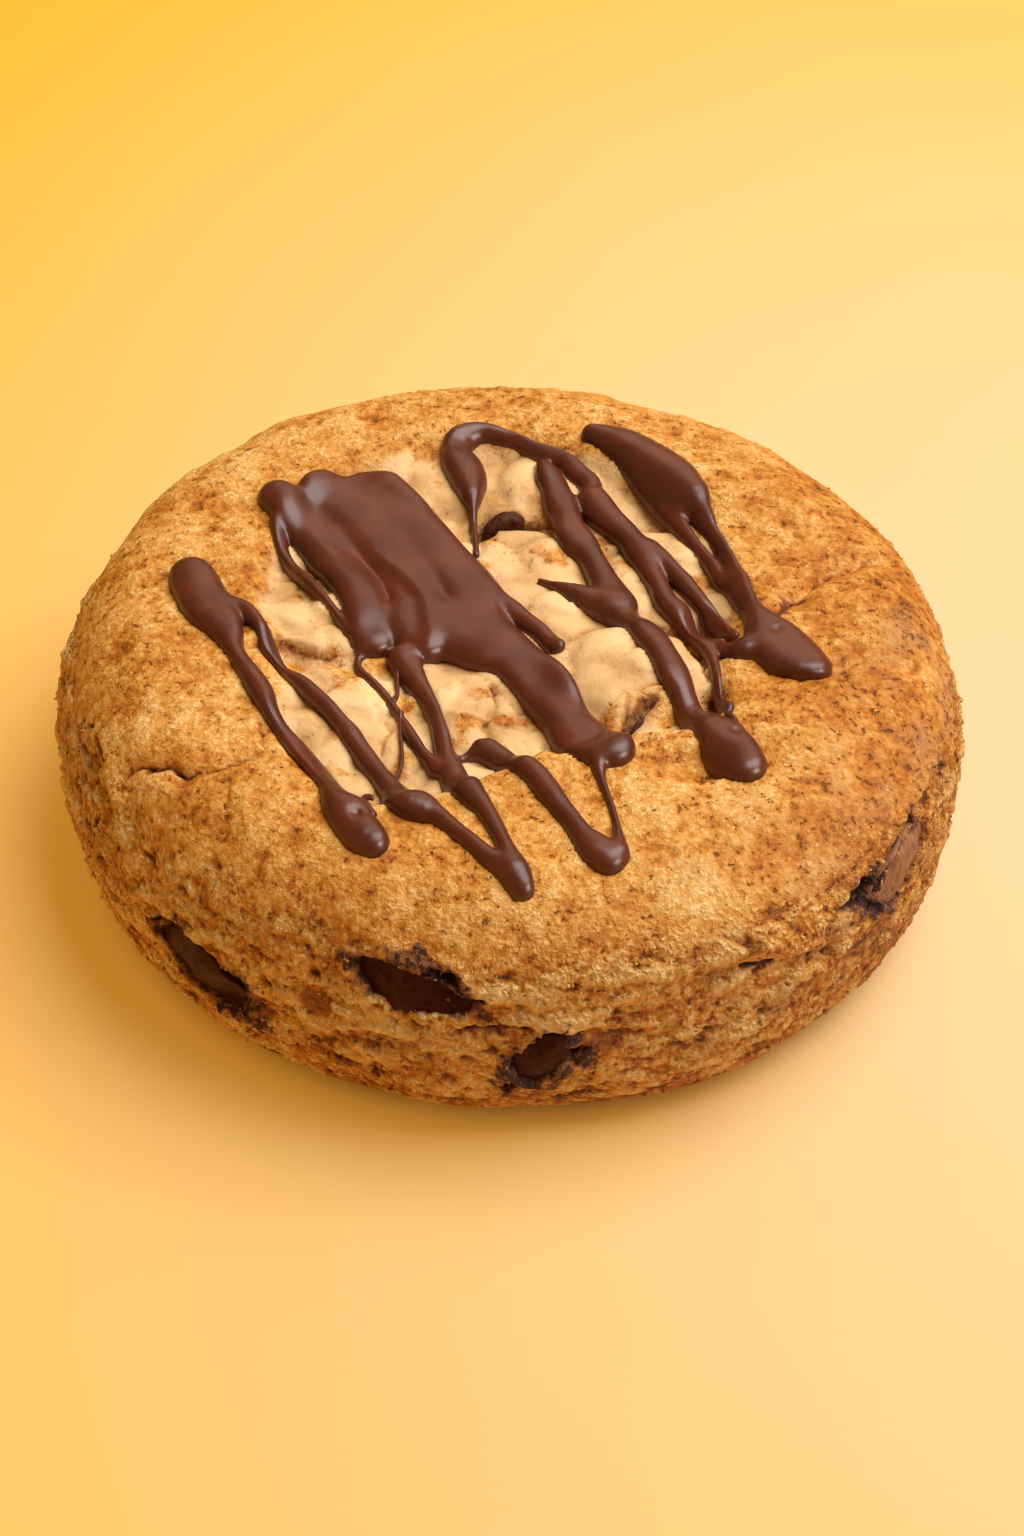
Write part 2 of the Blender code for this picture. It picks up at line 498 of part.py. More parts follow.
def keep_largest_shell(mesh):
    """Drop loose scraps, and fill any hollow that the joining sealed, by keeping only the outer skin.

    Returns how many shells there were, and how many edges don't join exactly two faces.
    """
    work = bmesh.new()
    work.from_mesh(mesh)
    bmesh.ops.remove_doubles(work, verts=work.verts[:], dist=SLIVER * MM)
    unseen = set(work.faces)
    shells = []
    while unseen:
        shell = {unseen.pop()}
        to_visit = list(shell)
        while to_visit:
            for edge in to_visit.pop().edges:
                if len(edge.link_faces) != 2:
                    continue
                for other in edge.link_faces:
                    if other in unseen:
                        unseen.discard(other)
                        shell.add(other)
                        to_visit.append(other)
        shells.append(shell)
    largest = max(shells, key=len)
    bmesh.ops.delete(work, geom=[f for f in work.faces if f not in largest], context="FACES")
    open_edges = sum(1 for edge in work.edges if len(edge.link_faces) != 2)
    work.to_mesh(mesh)
    work.free()
    return len(shells), open_edges


def shade(piece, sharp_angle):
    piece.data.shade_smooth()
    piece.data.set_sharp_from_angle(angle=math.radians(sharp_angle))


def temporary_collection(name):
    collection = bpy.data.collections.new(name)
    bpy.context.scene.collection.children.link(collection)
    return collection


def build():
    for old in list(bpy.data.objects):
        bpy.data.objects.remove(old)
    main = bpy.context.scene.collection
    crust = new_material("crust", CRUST_COLOUR, 0.75)
    chocolate = new_material("chocolate", CHOCOLATE_COLOUR, 0.38)

    cookie = new_object("cookie", cookie_mesh(), main, crust)
    bpy.context.view_layer.update()
    surface = BVHTree.FromObject(cookie, bpy.context.evaluated_depsgraph_get())

    drizzle = temporary_collection("drizzle")
    for name, points in STRANDS.items():
        new_object(name, strand_mesh(name, points, surface), drizzle)
    combine(cookie, drizzle, "UNION")
    print("shells and open edges after joining the drizzle:", keep_largest_shell(cookie.data))

    pockets = temporary_collection("pockets")
    places = []
    for name, (angle, height, length, face, depth, tilt) in SIDE_CHUNKS.items():
        places.append((name, side_frame(angle, height, tilt), (depth, length, face), CHUNK_PROUD))
    for name, (x, y, length, width, depth, turn, proud) in TOP_CHUNKS.items():
        places.append((name, top_frame(x, y, turn, surface), (depth, length, width), proud))
    for seed, (name, (point, turn, normal), size, proud) in enumerate(places):
        centre = (point - normal * (size[0] / 2 - proud)) * MM
        matrix = Matrix.Translation(centre) @ turn.to_4x4()
        chunk = new_object(name, chunk_mesh(name, size, seed), main, chocolate)
        chunk.matrix_world = matrix
        shade(chunk, 40.0)
        roomy = tuple(value + 2 * POCKET_GAP for value in size)
        cutter = new_object(name + "_pocket", chunk_mesh(name + "_pocket", roomy, seed, POCKET_MOUTH), pockets)
        cutter.matrix_world = matrix
    combine(cookie, pockets, "DIFFERENCE")
    print("shells and open edges after cutting the pockets:", keep_largest_shell(cookie.data))
    shade(cookie, 50.0)


build()
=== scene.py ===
# %% [markdown]
# # A deep dish cookie, one cell at a time
#
# The object is a thick round cookie: a browned, craggy crust, chocolate chunks that show in its side,
# and melted chocolate drizzled over a sunken middle.
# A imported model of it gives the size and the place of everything. This lesson puts the fine surfaces
# and the finishes around that model, and never moves it.

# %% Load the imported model
import math

import bmesh
import bpy
import numpy as np
from mathutils import Matrix, Vector


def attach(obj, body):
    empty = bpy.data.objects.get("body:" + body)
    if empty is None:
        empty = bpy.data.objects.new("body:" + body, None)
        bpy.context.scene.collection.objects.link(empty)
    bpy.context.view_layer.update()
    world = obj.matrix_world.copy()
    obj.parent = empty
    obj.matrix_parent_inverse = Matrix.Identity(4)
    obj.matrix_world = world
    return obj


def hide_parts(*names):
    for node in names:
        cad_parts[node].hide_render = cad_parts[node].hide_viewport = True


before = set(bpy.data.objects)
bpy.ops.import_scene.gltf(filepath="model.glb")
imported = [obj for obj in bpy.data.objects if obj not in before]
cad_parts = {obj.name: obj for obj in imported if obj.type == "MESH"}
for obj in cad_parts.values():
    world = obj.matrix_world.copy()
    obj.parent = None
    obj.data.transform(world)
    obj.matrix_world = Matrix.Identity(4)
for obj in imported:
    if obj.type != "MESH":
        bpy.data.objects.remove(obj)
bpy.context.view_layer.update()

MM = 0.001
print("packed nodes:", sorted(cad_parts))

# %% [markdown]
# ## Camera
#
# A product picture of a flat thing is usually taken from about 40 degrees above, so that both the top
# and the front of the side show. A 60 mm lens a third of a metre away gives the mild narrowing
# towards the back. The camera is also rolled by three degrees.

# %% Place the camera
CAMERA_PITCH = 42.5
CAMERA_ROLL = 3.0
CAMERA_DISTANCE = 0.333
CAMERA_TARGET = (0.00044, 0.008, 0.0)
CAMERA_LENS = 60.0
SENSOR_WIDTH = 36.0


def make_camera():
    """Camera axes: back points from the target to the lens, right is level, and both turn by the roll."""
    pitch, roll = math.radians(CAMERA_PITCH), math.radians(CAMERA_ROLL)
    back = Vector((0.0, -math.cos(pitch), math.sin(pitch)))
    right = Vector((1.0, 0.0, 0.0))
    up = back.cross(right)
    c, s = math.cos(roll), math.sin(roll)
    axes = Matrix((c * right + s * up, c * up - s * right, back)).transposed()
    camera = bpy.data.objects.new("camera", bpy.data.cameras.new("camera"))
    bpy.context.scene.collection.objects.link(camera)
    camera.data.lens = CAMERA_LENS
    camera.data.sensor_width = SENSOR_WIDTH
    camera.data.clip_start = 0.01
    camera.matrix_world = Matrix.Translation(Vector(CAMERA_TARGET) + back * CAMERA_DISTANCE) @ axes.to_4x4()
    bpy.context.scene.camera = camera
    return camera


camera = make_camera()
bpy.context.scene.view_settings.view_transform = "Standard"
print("camera at mm:", [round(value / MM, 1) for value in camera.matrix_world.translation])

# %% [markdown]
# ## The turned form
#
# A cookie baked in a ring is nearly a turned shape: flat on top, with a round shoulder, widest low
# down and narrower at its base. A super-ellipse gives the shoulder and the belly with one number for
# how round they are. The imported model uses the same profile, so the new crust fits it everywhere.

# %% Profile of the cookie in millimetres
RADIUS = 55.0
HEIGHT = 33.5
BASE_RADIUS = 45.0
BELLY_HEIGHT = 15.2
TOP_RADIUS = 41.8
ROUNDNESS = 2.3
TOP_EDGE = 50.5


def smooth_step(low, high, value):
    """0 below low, 1 above high, and between them 3t^2 - 2t^3."""
    t = np.clip((value - low) / (high - low), 0.0, 1.0)
    return t * t * (3.0 - 2.0 * t)


def top_height(r):
    """Height of the turned top at radius r: belly + rise (1 - t^n)^(1/n), t running out over the shoulder."""
    t = np.clip((r - TOP_RADIUS) / (RADIUS - TOP_RADIUS), 0.0, 1.0)
    return BELLY_HEIGHT + (HEIGHT - BELLY_HEIGHT) * (1.0 - t**ROUNDNESS) ** (1.0 / ROUNDNESS)


def side_profile(rings):
    """Radii and heights of evenly spaced rings down the super-ellipse, from the top's edge to the base."""
    turn = np.linspace(0.0, math.pi / 2, 400)
    power = 2.0 / ROUNDNESS
    upper_r = TOP_RADIUS + (RADIUS - TOP_RADIUS) * np.sin(turn) ** power
    upper_z = BELLY_HEIGHT + (HEIGHT - BELLY_HEIGHT) * np.cos(turn) ** power
    lower_r = BASE_RADIUS + (RADIUS - BASE_RADIUS) * np.cos(turn) ** power
    lower_z = BELLY_HEIGHT * (1.0 - np.sin(turn) ** power)
    below_edge = upper_r > TOP_EDGE
    r = np.concatenate(([TOP_EDGE], upper_r[below_edge], lower_r[1:]))
    z = np.concatenate(([top_height(TOP_EDGE)], upper_z[below_edge], lower_z[1:]))
    along = np.concatenate(([0.0], np.cumsum(np.hypot(np.diff(r), np.diff(z)))))
    stops = np.linspace(0.0, along[-1], rings + 1)
    return np.interp(stops, along, r), np.interp(stops, along, z)


def profile_normal(r, z):
    """Outward direction (radial, up): the slope of the super-ellipse's formula, made one long."""
    n = ROUNDNESS - 1.0
    upper_t = np.clip((r - TOP_RADIUS) / (RADIUS - TOP_RADIUS), 0.0, 1.0)
    upper_s = np.clip((z - BELLY_HEIGHT) / (HEIGHT - BELLY_HEIGHT), 0.0, 1.0)
    lower_t = np.clip((r - BASE_RADIUS) / (RADIUS - BASE_RADIUS), 0.0, 1.0)
    lower_s = np.clip((BELLY_HEIGHT - z) / BELLY_HEIGHT, 0.0, 1.0)
    above = z >= BELLY_HEIGHT
    out = np.where(above, upper_t**n / (RADIUS - TOP_RADIUS), lower_t**n / (RADIUS - BASE_RADIUS))
    up = np.where(above, upper_s**n / (HEIGHT - BELLY_HEIGHT), -(lower_s**n) / BELLY_HEIGHT)
    length = np.hypot(out, up)
    return out / length, up / length


print("profile: top edge at", round(float(top_height(TOP_EDGE)), 1), "mm, belly", RADIUS, "mm out")

# %% [markdown]
# ## The large forms of the dough
#
# As it bakes, the dough rises at the rim and sinks in the middle. Lumps push up, and the skin folds
# and splits where they meet. Each of these is a small function of place that says how far the
# surface stands off the turned form, in millimetres. The sum is the relief. These are the same
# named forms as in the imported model.

# %% Basin, lumps and folds of the dough
BASIN_ANGLES = (9, 42, 64, 83, 101, 133, 156, 181, 194, 213, 225, 244, 251, 266, 278, 291, 302, 322, 331, 348)
BASIN_RADII = (29, 30.5, 33.5, 36, 37.5, 36, 33.6, 33, 31.4, 33.7, 38, 40.3, 37.4, 30, 25.8, 27.8, 26.2, 31,
               28.6, 27.1)
BASIN_DEPTH = 2.0
BASIN_SLOPE = 4.5
LEDGE_SLOPE = 1.3
LEDGE_ANGLE = 276.0
LEDGE_SPREAD = 34.0

# Lumps: x, y, half-length, half-width, turn in degrees, rise (a dip where below zero)
LUMPS = (
    (13.5, -9, 10.5, 9, 8, 2.2),
    (-24, -1, 9, 8, 0, 0.9),
    (-21, -19, 7, 8.5, 20, 0.9),
    (-4, -17, 6.5, 7.5, 0, 1),
    (0.5, 14.5, 5.5, 5, 0, 0.8),
    (-11.5, 26, 8, 7, 0, 1),
    (1, 27.5, 4.5, 4.5, 0, 0.9),
    (33, -18, 9, 8, 30, 0.9),
    (30, 24, 9, 7, -40, 0.7),
    (-38, -14, 8, 9, 0, 0.6),
    (20.5, -26.5, 5, 3, 10, -1.6),
    (22.8, 0.5, 2.8, 3.2, 0, -2.2),
    (23.3, -14.2, 1.6, 3.2, 0, -1.6),
)
# Folds: points, step, reach. Furrows: points, half-width, depth
TOP_FOLDS = (
    (((-31.5, -11), (-26.9, -7.6), (-22.9, -8.7), (-18, -8.2)), 1.2, 6),
    (((-6.4, 16.5), (-4.4, 20.2), (-0.7, 20), (4.5, 20.2)), 1.2, 5),
    (((12, -18.5), (14.8, -15.8), (18, -13)), 1, 4),
)
TOP_FURROWS = (
    (((46.5, 16), (41.2, 12.6), (36.1, 9), (34.1, 5.7), (31.3, 1.6)), 2.6, 1.6),
    (((-44, -28), (-38.9, -29.3), (-35.4, -31.2), (-27.3, -28.1)), 1.6, 0.6),
)
# Folds round the side: points as angle in degrees and height, step, reach
SIDE_FOLDS = (
    (((-139, 20), (-145, 25.5), (-152, 27.5), (-159, 27.5)), -1.3, 5),
    (((-76, 22), (-66, 23.6), (-59, 24), (-52, 21.5), (-45, 20.5)), 1.1, 4.5),
    (((-67, 11.5), (-57, 14), (-49, 16.5), (-41, 17)), 0.9, 3.5),
    (((-70, 8.5), (-62, 10.5), (-55, 13)), 0.7, 3),
    (((15, 19), (28, 22.5), (40, 20.5)), 1, 4),
    (((70, 14), (84, 17.5), (97, 15)), 0.9, 4),
    (((118, 23), (133, 25), (146, 22)), 1.1, 4.5),
    (((160, 12.5), (172, 15.5), (184, 13)), 0.8, 3.5),
)
WAVE_SEED = 57
WAVE_COUNT = 14
WAVE_RISE = 0.24


def along_path(points, x, y):
    """Signed distance to a polyline (left is positive) and how far along it the nearest point is, 0 to 1."""
    points = np.asarray(points, float)
    lengths = np.hypot(*np.diff(points, axis=0).T)
    starts = np.concatenate(([0.0], np.cumsum(lengths)))
    best = np.full(x.shape, 1e9)
    signed = np.zeros(x.shape)
    fraction = np.zeros(x.shape)
    for (x0, y0), (x1, y1), length, start in zip(points[:-1], points[1:], lengths, starts):
        dx, dy = (x1 - x0) / length, (y1 - y0) / length
        t = np.clip((x - x0) * dx + (y - y0) * dy, 0.0, length)
        away_x, away_y = x - x0 - t * dx, y - y0 - t * dy
        distance = np.hypot(away_x, away_y)
        nearer = distance < best
        best = np.where(nearer, distance, best)
        signed = np.where(nearer, distance * np.where(dx * away_y - dy * away_x >= 0, 1.0, -1.0), signed)
        fraction = np.where(nearer, (start + t) / starts[-1], fraction)
    return signed, fraction


def fold(points, step, reach, x, y):
    """A step along a path: proud on its left and dying away over reach, with a shallow trough at its foot."""
    signed, fraction = along_path(points, x, y)
    ends = np.sin(np.pi * fraction) ** 0.6
    proud = smooth_step(-0.2, 0.9, signed) * np.exp(-((np.maximum(signed, 0.0) / reach) ** 2))
    trough = np.exp(-(((signed + 0.9) / 1.1) ** 2))
    return ends * step * (proud - 0.45 * trough)


def furrow(points, half_width, depth, x, y):
    """A groove of V section along a path, fading at both ends."""
    signed, fraction = along_path(points, x, y)
    ends = np.sin(np.pi * fraction) ** 0.5
    return -depth * ends * np.clip(1.0 - np.abs(signed) / half_width, 0.0, 1.0)


def in_basin(x, y):
    """1 in the sunken middle and 0 on the rim: a smooth step across an edge radius that follows the angle."""
    angle = np.degrees(np.arctan2(y, x)) % 360.0
    edge = np.interp(angle, BASIN_ANGLES, BASIN_RADII, period=360.0)
    inside = edge - np.hypot(x, y)
    front = np.exp(-(((angle - LEDGE_ANGLE) / LEDGE_SPREAD) ** 2))
    slope = BASIN_SLOPE + (LEDGE_SLOPE - BASIN_SLOPE) * front
    return smooth_step(0.0, 1.0, inside / slope)


def lump(centre_x, centre_y, half_length, half_width, turn, rise, x, y):
    """A low dome, rise (1 - q^3), where q is the distance from its middle in half-sizes."""
    c, s = math.cos(math.radians(turn)), math.sin(math.radians(turn))
    u = (c * (x - centre_x) + s * (y - centre_y)) / half_length
    v = (-s * (x - centre_x) + c * (y - centre_y)) / half_width
    return rise * np.clip(1.0 - (u * u + v * v) ** 1.5, 0.0, 1.0)


def waves(x, y, z):
    """Gentle unevenness: a seeded sum of sine waves that run in all directions."""
    rng = np.random.default_rng(WAVE_SEED)
    total = np.zeros(x.shape)
    for _ in range(WAVE_COUNT):
        direction = rng.normal(size=3)
        direction /= np.linalg.norm(direction)
        length = rng.uniform(9.0, 26.0)
        phase = rng.uniform(0.0, 2.0 * math.pi)
        along = direction[0] * x + direction[1] * y + direction[2] * z
        total += np.sin(2.0 * math.pi / length * along + phase)
    return WAVE_RISE * total / math.sqrt(WAVE_COUNT)


def on_side_sheet(points, x, y, z):
    """A side feature's points and the surface's on one flat sheet: arc length round the belly, and height."""
    middle = sum(angle for angle, _ in points) / len(points)
    turn = (np.degrees(np.arctan2(y, x)) - middle + 180.0) % 360.0 - 180.0
    flat_points = [(math.radians(angle - middle) * RADIUS, height) for angle, height in points]
    return flat_points, np.radians(turn) * RADIUS, z


def large_relief(x, y, z):
    """How far the dough stands off the turned form along its outward direction: the named forms' sum."""
    r = np.hypot(x, y)
    on_top = smooth_step(53.5, 48.0, r) * (z > BELLY_HEIGHT)
    on_side = smooth_step(46.0, 50.5, r)
    top = -BASIN_DEPTH * in_basin(x, y)
    for row in LUMPS:
        top = top + lump(*row, x, y)
    for points, step, reach in TOP_FOLDS:
        top = top + fold(points, step, reach, x, y)
    for points, half_width, depth in TOP_FURROWS:
        top = top + furrow(points, half_width, depth, x, y)
    side = np.zeros(x.shape)
    for points, step, reach in SIDE_FOLDS:
        flat_points, arc, height = on_side_sheet(points, x, y, z)
        side = side + fold(flat_points, step, reach, arc, height)
    off_base = smooth_step(0.0, 3.0, z)
    return (on_top * top + on_side * side + waves(x, y, z)) * off_base


print("lumps:", len(LUMPS), "folds:", len(TOP_FOLDS + SIDE_FOLDS), "furrows:", len(TOP_FURROWS))

# %% [markdown]
# ## Grain that repeats itself the same way each run
#
# Baked dough is rough at every size, so two kinds of seeded noise are needed on the points of the
# mesh. Gradient noise makes soft bumps. Cell noise scatters one point to a cell and measures the
# distance to the nearest, which is just right for pores, pits and crumbs. Both work on whole arrays
# of points in space, so the pattern has no seam where the top meets the side.

# %% Noise on points in space
GRADIENTS = np.random.default_rng(11).normal(size=(256, 3))
GRADIENTS /= np.linalg.norm(GRADIENTS, axis=1, keepdims=True)


def scramble(cell, seed):
    """A number from 0 to 65535 for each lattice cell: its three whole numbers times large primes, mixed."""
    mixed = (cell[..., 0] * 73856093) ^ (cell[..., 1] * 19349663) ^ (cell[..., 2] * 83492791)
    mixed = mixed ^ (seed * 40503651)
    mixed = (mixed ^ (mixed >> 13)) * 1274126177
    mixed = (mixed ^ (mixed >> 17)) * 668265263
    return (mixed >> 20) & 65535


def noise(place, size, seed):
    """Gradient noise, about -1 to 1: each lattice corner's random slope, blended by 6t^5 - 15t^4 + 10t^3."""
    scaled = place / size
    cell = np.floor(scaled).astype(np.int64)
    inside = scaled - cell
    ease = inside**3 * (inside * (inside * 6.0 - 15.0) + 10.0)
    total = np.zeros(len(place))
    for corner in np.ndindex(2, 2, 2):
        slope = GRADIENTS[scramble(cell + corner, seed) & 255]
        weight = np.prod(np.where(np.array(corner) > 0, ease, 1.0 - ease), axis=-1)
        total += weight * np.sum(slope * (inside - corner), axis=-1)
    return 1.7 * total


def rough(place, size, layers, seed):
    """Noise in layers, each half the size of the last and half as high."""
    size = np.asarray(size, float)
    return sum(noise(place, size / 2**k, seed + k) / 2**k for k in range(layers))


def cells(place, size, seed):
    """Distances to the nearest two scattered points, in cell sizes, and the number of the nearest."""
    scaled = place / size
    cell = np.floor(scaled).astype(np.int64)
    nearest = np.full(len(place), 9.0)
    second = np.full(len(place), 9.0)
    number = np.zeros(len(place))
    for step in np.ndindex(3, 3, 3):
        other = cell + (np.array(step) - 1)
        jitter = np.stack([scramble(other, seed + k) for k in range(3)], axis=-1) / 65535.0
        distance = np.linalg.norm(scaled - other - jitter, axis=-1)
        closer = distance < nearest
        second = np.where(closer, nearest, np.minimum(second, distance))
        number = np.where(closer, scramble(other, seed + 3) / 65535.0, number)
        nearest = np.where(closer, distance, nearest)
    return nearest, second, number


sample = np.random.default_rng(0).uniform(-50.0, 50.0, (4000, 3))
print("noise spread:", round(float(noise(sample, 3.0, 1).std()), 2))
print("mean number of a cell:", round(float(cells(sample, 3.0, 1)[2].mean()), 2))

# %% [markdown]
# ## Where the chunks sit
#
# Broken pieces of chocolate show in the side, each in a ragged hollow that the dough pulled back
# from. Each chunk needs a frame: a point on the turned form, the direction out of it, and the
# directions along and across the chunk's face. In that frame, three outlines say what shows: bare
# chocolate, dark gaps, and crumb that the chocolate stained.

# %% Chunk places and frames
# Chunks in the side: angle in degrees, height, depth, tilt in degrees
SIDE_CHUNKS = {
    "chunk_side_left": (-126.3, 15.0, 7.0, -33.0),
    "chunk_front_left": (-100.2, 23.6, 8.0, -9.0),
    "chunk_front": (-84.8, 13.6, 7.0, 22.0),
    "chunk_right": (-33.4, 23.6, 7.0, 32.0),
    "chunk_back_right": (22.0, 13.5, 7.0, 14.0),
    "chunk_back": (74.0, 23.5, 7.5, -12.0),
    "chunk_back_low": (104.0, 12.0, 7.0, 25.0),
    "chunk_back_left": (152.0, 18.0, 7.0, -20.0),
}


def side_frame(angle, height, tilt):
    """Point on the side, and rows out, along, across: level and upward directions turned by the tilt."""
    around = math.radians(angle)
    z = np.array([height])
    r = np.interp(z, *[line[::-1] for line in reversed(side_profile(200))])
    out, up = (float(value[0]) for value in profile_normal(r, z))
    normal = np.array((out * math.cos(around), out * math.sin(around), up))
    level = np.array((-math.sin(around), math.cos(around), 0.0))
    upward = np.cross(normal, level)
    c, s = math.cos(math.radians(tilt)), math.sin(math.radians(tilt))
    point = np.array((r[0] * math.cos(around), r[0] * math.sin(around), height))
    return point, np.stack((normal, c * level + s * upward, c * upward - s * level))


CHUNK_FRAMES = {
    name: side_frame(angle, height, tilt) for name, (angle, height, _, tilt) in SIDE_CHUNKS.items()
}
print("chunks at mm:", {name: point.round(1).tolist() for name, (point, _) in CHUNK_FRAMES.items()})

# %% [markdown]
# ## Outlines of what shows of a chunk
#
# Dough covers half of a chunk, cracks away from it and takes colour from it, so three outlines are
# needed for each: its bare face, the dark gaps beside it and the stain around it. They are drawn in
# millimetres from the chunk's middle. Four sets serve eight chunks, because some are stretched or
# mirrored, and no two look the same.

# %% Outlines of bare chocolate, gaps and stains
LONG_LOOK = {
    "face": ((-7.4, -2.4), (-6, -0.5), (-4, 1.1), (-1.2, 2), (1.8, 2.3), (4.6, 1.8), (6.6, -0.4),
        (5.4, -2.7), (2.1, -3.5), (-1.1, -3.7), (-4, -3.6), (-6.4, -3.2)),
    "gaps": (((-8.2, -2.4), (-7.1, 0.2), (-5.5, 1.6), (-3.4, 2.6), (-1.2, 3.3), (1.2, 3.5), (3.7, 4.8),
        (5.5, 3.2), (6.9, -0.2), (5.4, 0.6), (2.5, 1.9), (-0.9, 1.7), (-3.9, 0.9), (-5.8, -0.7)),
        ((8, 0.8), (8.5, 2.8), (9.6, 2.2), (9.4, 0))),
    "stain": ((-8.6, -3), (-7.2, 0.6), (-3, 3.4), (2, 4.4), (5, 5.6), (9.8, 3.4), (9.6, -0.6), (6, -3.4),
        (0, -4.4), (-6.4, -4)),
}
BURIED_LOOK = {
    "face": ((-7, 0.2), (-5.4, 1.7), (-2.4, 1.9), (0.3, 1.5), (2.5, 1.6), (4.2, 1.4), (7.4, 0), (7, -0.9),
        (5.5, -1.7), (2.8, -2.5), (-0.9, -2.8), (-3.4, -2.7), (-5.6, -1.4)),
    "gaps": (((-0.8, 1.3), (1.2, 2.3), (2.8, 3.1), (3.8, 3.4), (4.7, 3), (5.6, 1.4), (4.3, 1.5),
        (2.4, 1.8)), ((7, 0.4), (7.8, 1.4), (9, 1.2), (8, 0.2))),
    "stain": ((-7.8, 0.6), (-6.8, 1.9), (-3.3, 4.1), (-0.6, 4.6), (1.5, 5.2), (3.7, 4.9), (5.6, 3.4),
        (7.2, 1.2), (7.4, -1.2), (2.8, -3.2), (-3.6, -3.4), (-6.6, -1.4)),
}
SHORT_LOOK = {
    "face": ((-2.7, 0.2), (-2.2, 1.4), (-0.2, 2.8), (2, 3.6), (3.7, 3.2), (3.8, 1.5), (2.5, -0.5),
        (0.2, -1.6), (-1.4, -2.4), (-2.6, -1.4)),
    "gaps": (((-3.6, 1), (-1.4, 3), (1.6, 4.6), (3.4, 5.1), (4.6, 4.4), (4.2, 3), (2, 3.5), (-0.4, 2.5),
        (-2.4, 0.9)), ((3.4, 1.7), (5.4, 1.2), (6.2, 0.3), (4.2, -0.4), (2.8, -0.6)), ((-5.4, -2.4),
        (-4.4, -1), (-3.4, -1.8), (-4.2, -3.2))),
    "stain": ((-4.8, 2.9), (-0.8, 4.7), (3.9, 5.4), (6.4, 3.5), (7.5, 0.9), (5.6, -2.7), (2.1, -3.6),
        (-1.6, -4.9), (-5, -4.3), (-6, -1.3)),
}
FLAT_LOOK = {
    "face": ((5.7, -1.2), (4.7, -2.9), (1.1, -3.7), (-1.4, -3.8), (-4.7, -2.2), (-6, 1.1), (-4.2, 1.9),
        (-0.7, 1.7), (2.6, 0.8)),
    "gaps": (((-3.4, 4.3), (-5.2, 6.2), (-7.5, 6.8), (-9.7, 7.8), (-9.2, 5.9), (-7.4, 3.1), (-7.6, 1.7),
        (-6.7, -0.9), (-5.5, -0.7), (-6, 1.3), (-4.2, 2)), ((5.3, 1.7), (5, -0.3), (2.6, 0.9),
        (-0.8, 1.8), (-4.3, 2), (-4.1, 4.2), (-1.7, 3.8), (1.4, 2.5))),
    "stain": ((5.6, 2), (6, -1), (0, -4.2), (-6, -3), (-8.4, 0), (-10, 8.2), (-4, 6.6), (0, 3.8)),
}
# Which look each chunk has, its stretch along and across, and how pale its face is,
# partly fat bloom and partly painted sheen
CHUNK_LOOKS = {
    "chunk_side_left": (LONG_LOOK, 1.0, 1.0, 0.05),
    "chunk_front_left": (BURIED_LOOK, 1.0, 1.0, 0.0),
    "chunk_front": (SHORT_LOOK, 1.0, 1.0, 0.0),
    "chunk_right": (FLAT_LOOK, 1.0, 1.0, 0.9),
    "chunk_back_right": (SHORT_LOOK, -1.2, 1.0, 0.1),
    "chunk_back": (BURIED_LOOK, -0.85, 1.0, 0.1),
    "chunk_back_low": (SHORT_LOOK, 1.1, -1.1, 0.0),
    "chunk_back_left": (LONG_LOOK, -0.8, 0.95, 0.2),
}


def in_outline(corners, u, v):
    """Distance to a closed outline, below zero inside it.

    A place is inside if a level line from it crosses the outline an odd number of times.
    """
    closed = np.asarray(list(corners) + [corners[0]], float)
    signed, _ = along_path(closed, u, v)
    crossings = np.zeros(u.shape, int)
    for (u0, v0), (u1, v1) in zip(closed[:-1], closed[1:]):
        if v0 != v1:
            at = u0 + (v - v0) * (u1 - u0) / (v1 - v0)
            crossings += ((v0 > v) != (v1 > v)) & (u < at)
    return np.where(crossings % 2 == 1, -1.0, 1.0) * np.abs(signed)


def chunk_outline(name, kind):
    """Corners of one of the chunk's outlines, with the chunk's own stretch."""
    look, stretch_u, stretch_v, _ = CHUNK_LOOKS[name]
    shapes = look[kind] if kind == "gaps" else (look[kind],)
    stretched = [tuple((u * stretch_u, v * stretch_v) for u, v in corners) for corners in shapes]
    return stretched if kind == "gaps" else stretched[0]


square = ((0.0, 0.0), (2.0, 0.0), (2.0, 2.0), (0.0, 2.0))
print("outline test:", in_outline(square, np.array([1.0, 3.0]), np.array([1.0, 1.0])))

# %% [markdown]
# ## Hollows round the chunks
#
# The crust is one skin, so a chunk can only show where that skin is pushed in below its face. Torn
# dough has no smooth edges, so noise moves the outlines about first. Beside a hole the dough stands
# up a little, in an uneven bank.

# %% Hollows round the chunks
FACE_HOLLOW = 1.5
GAP_HOLLOW = 2.8
# How far from a chunk's middle anything of it can reach: out, along, across
CHUNK_REACH = (9.0, 15.0, 13.0)


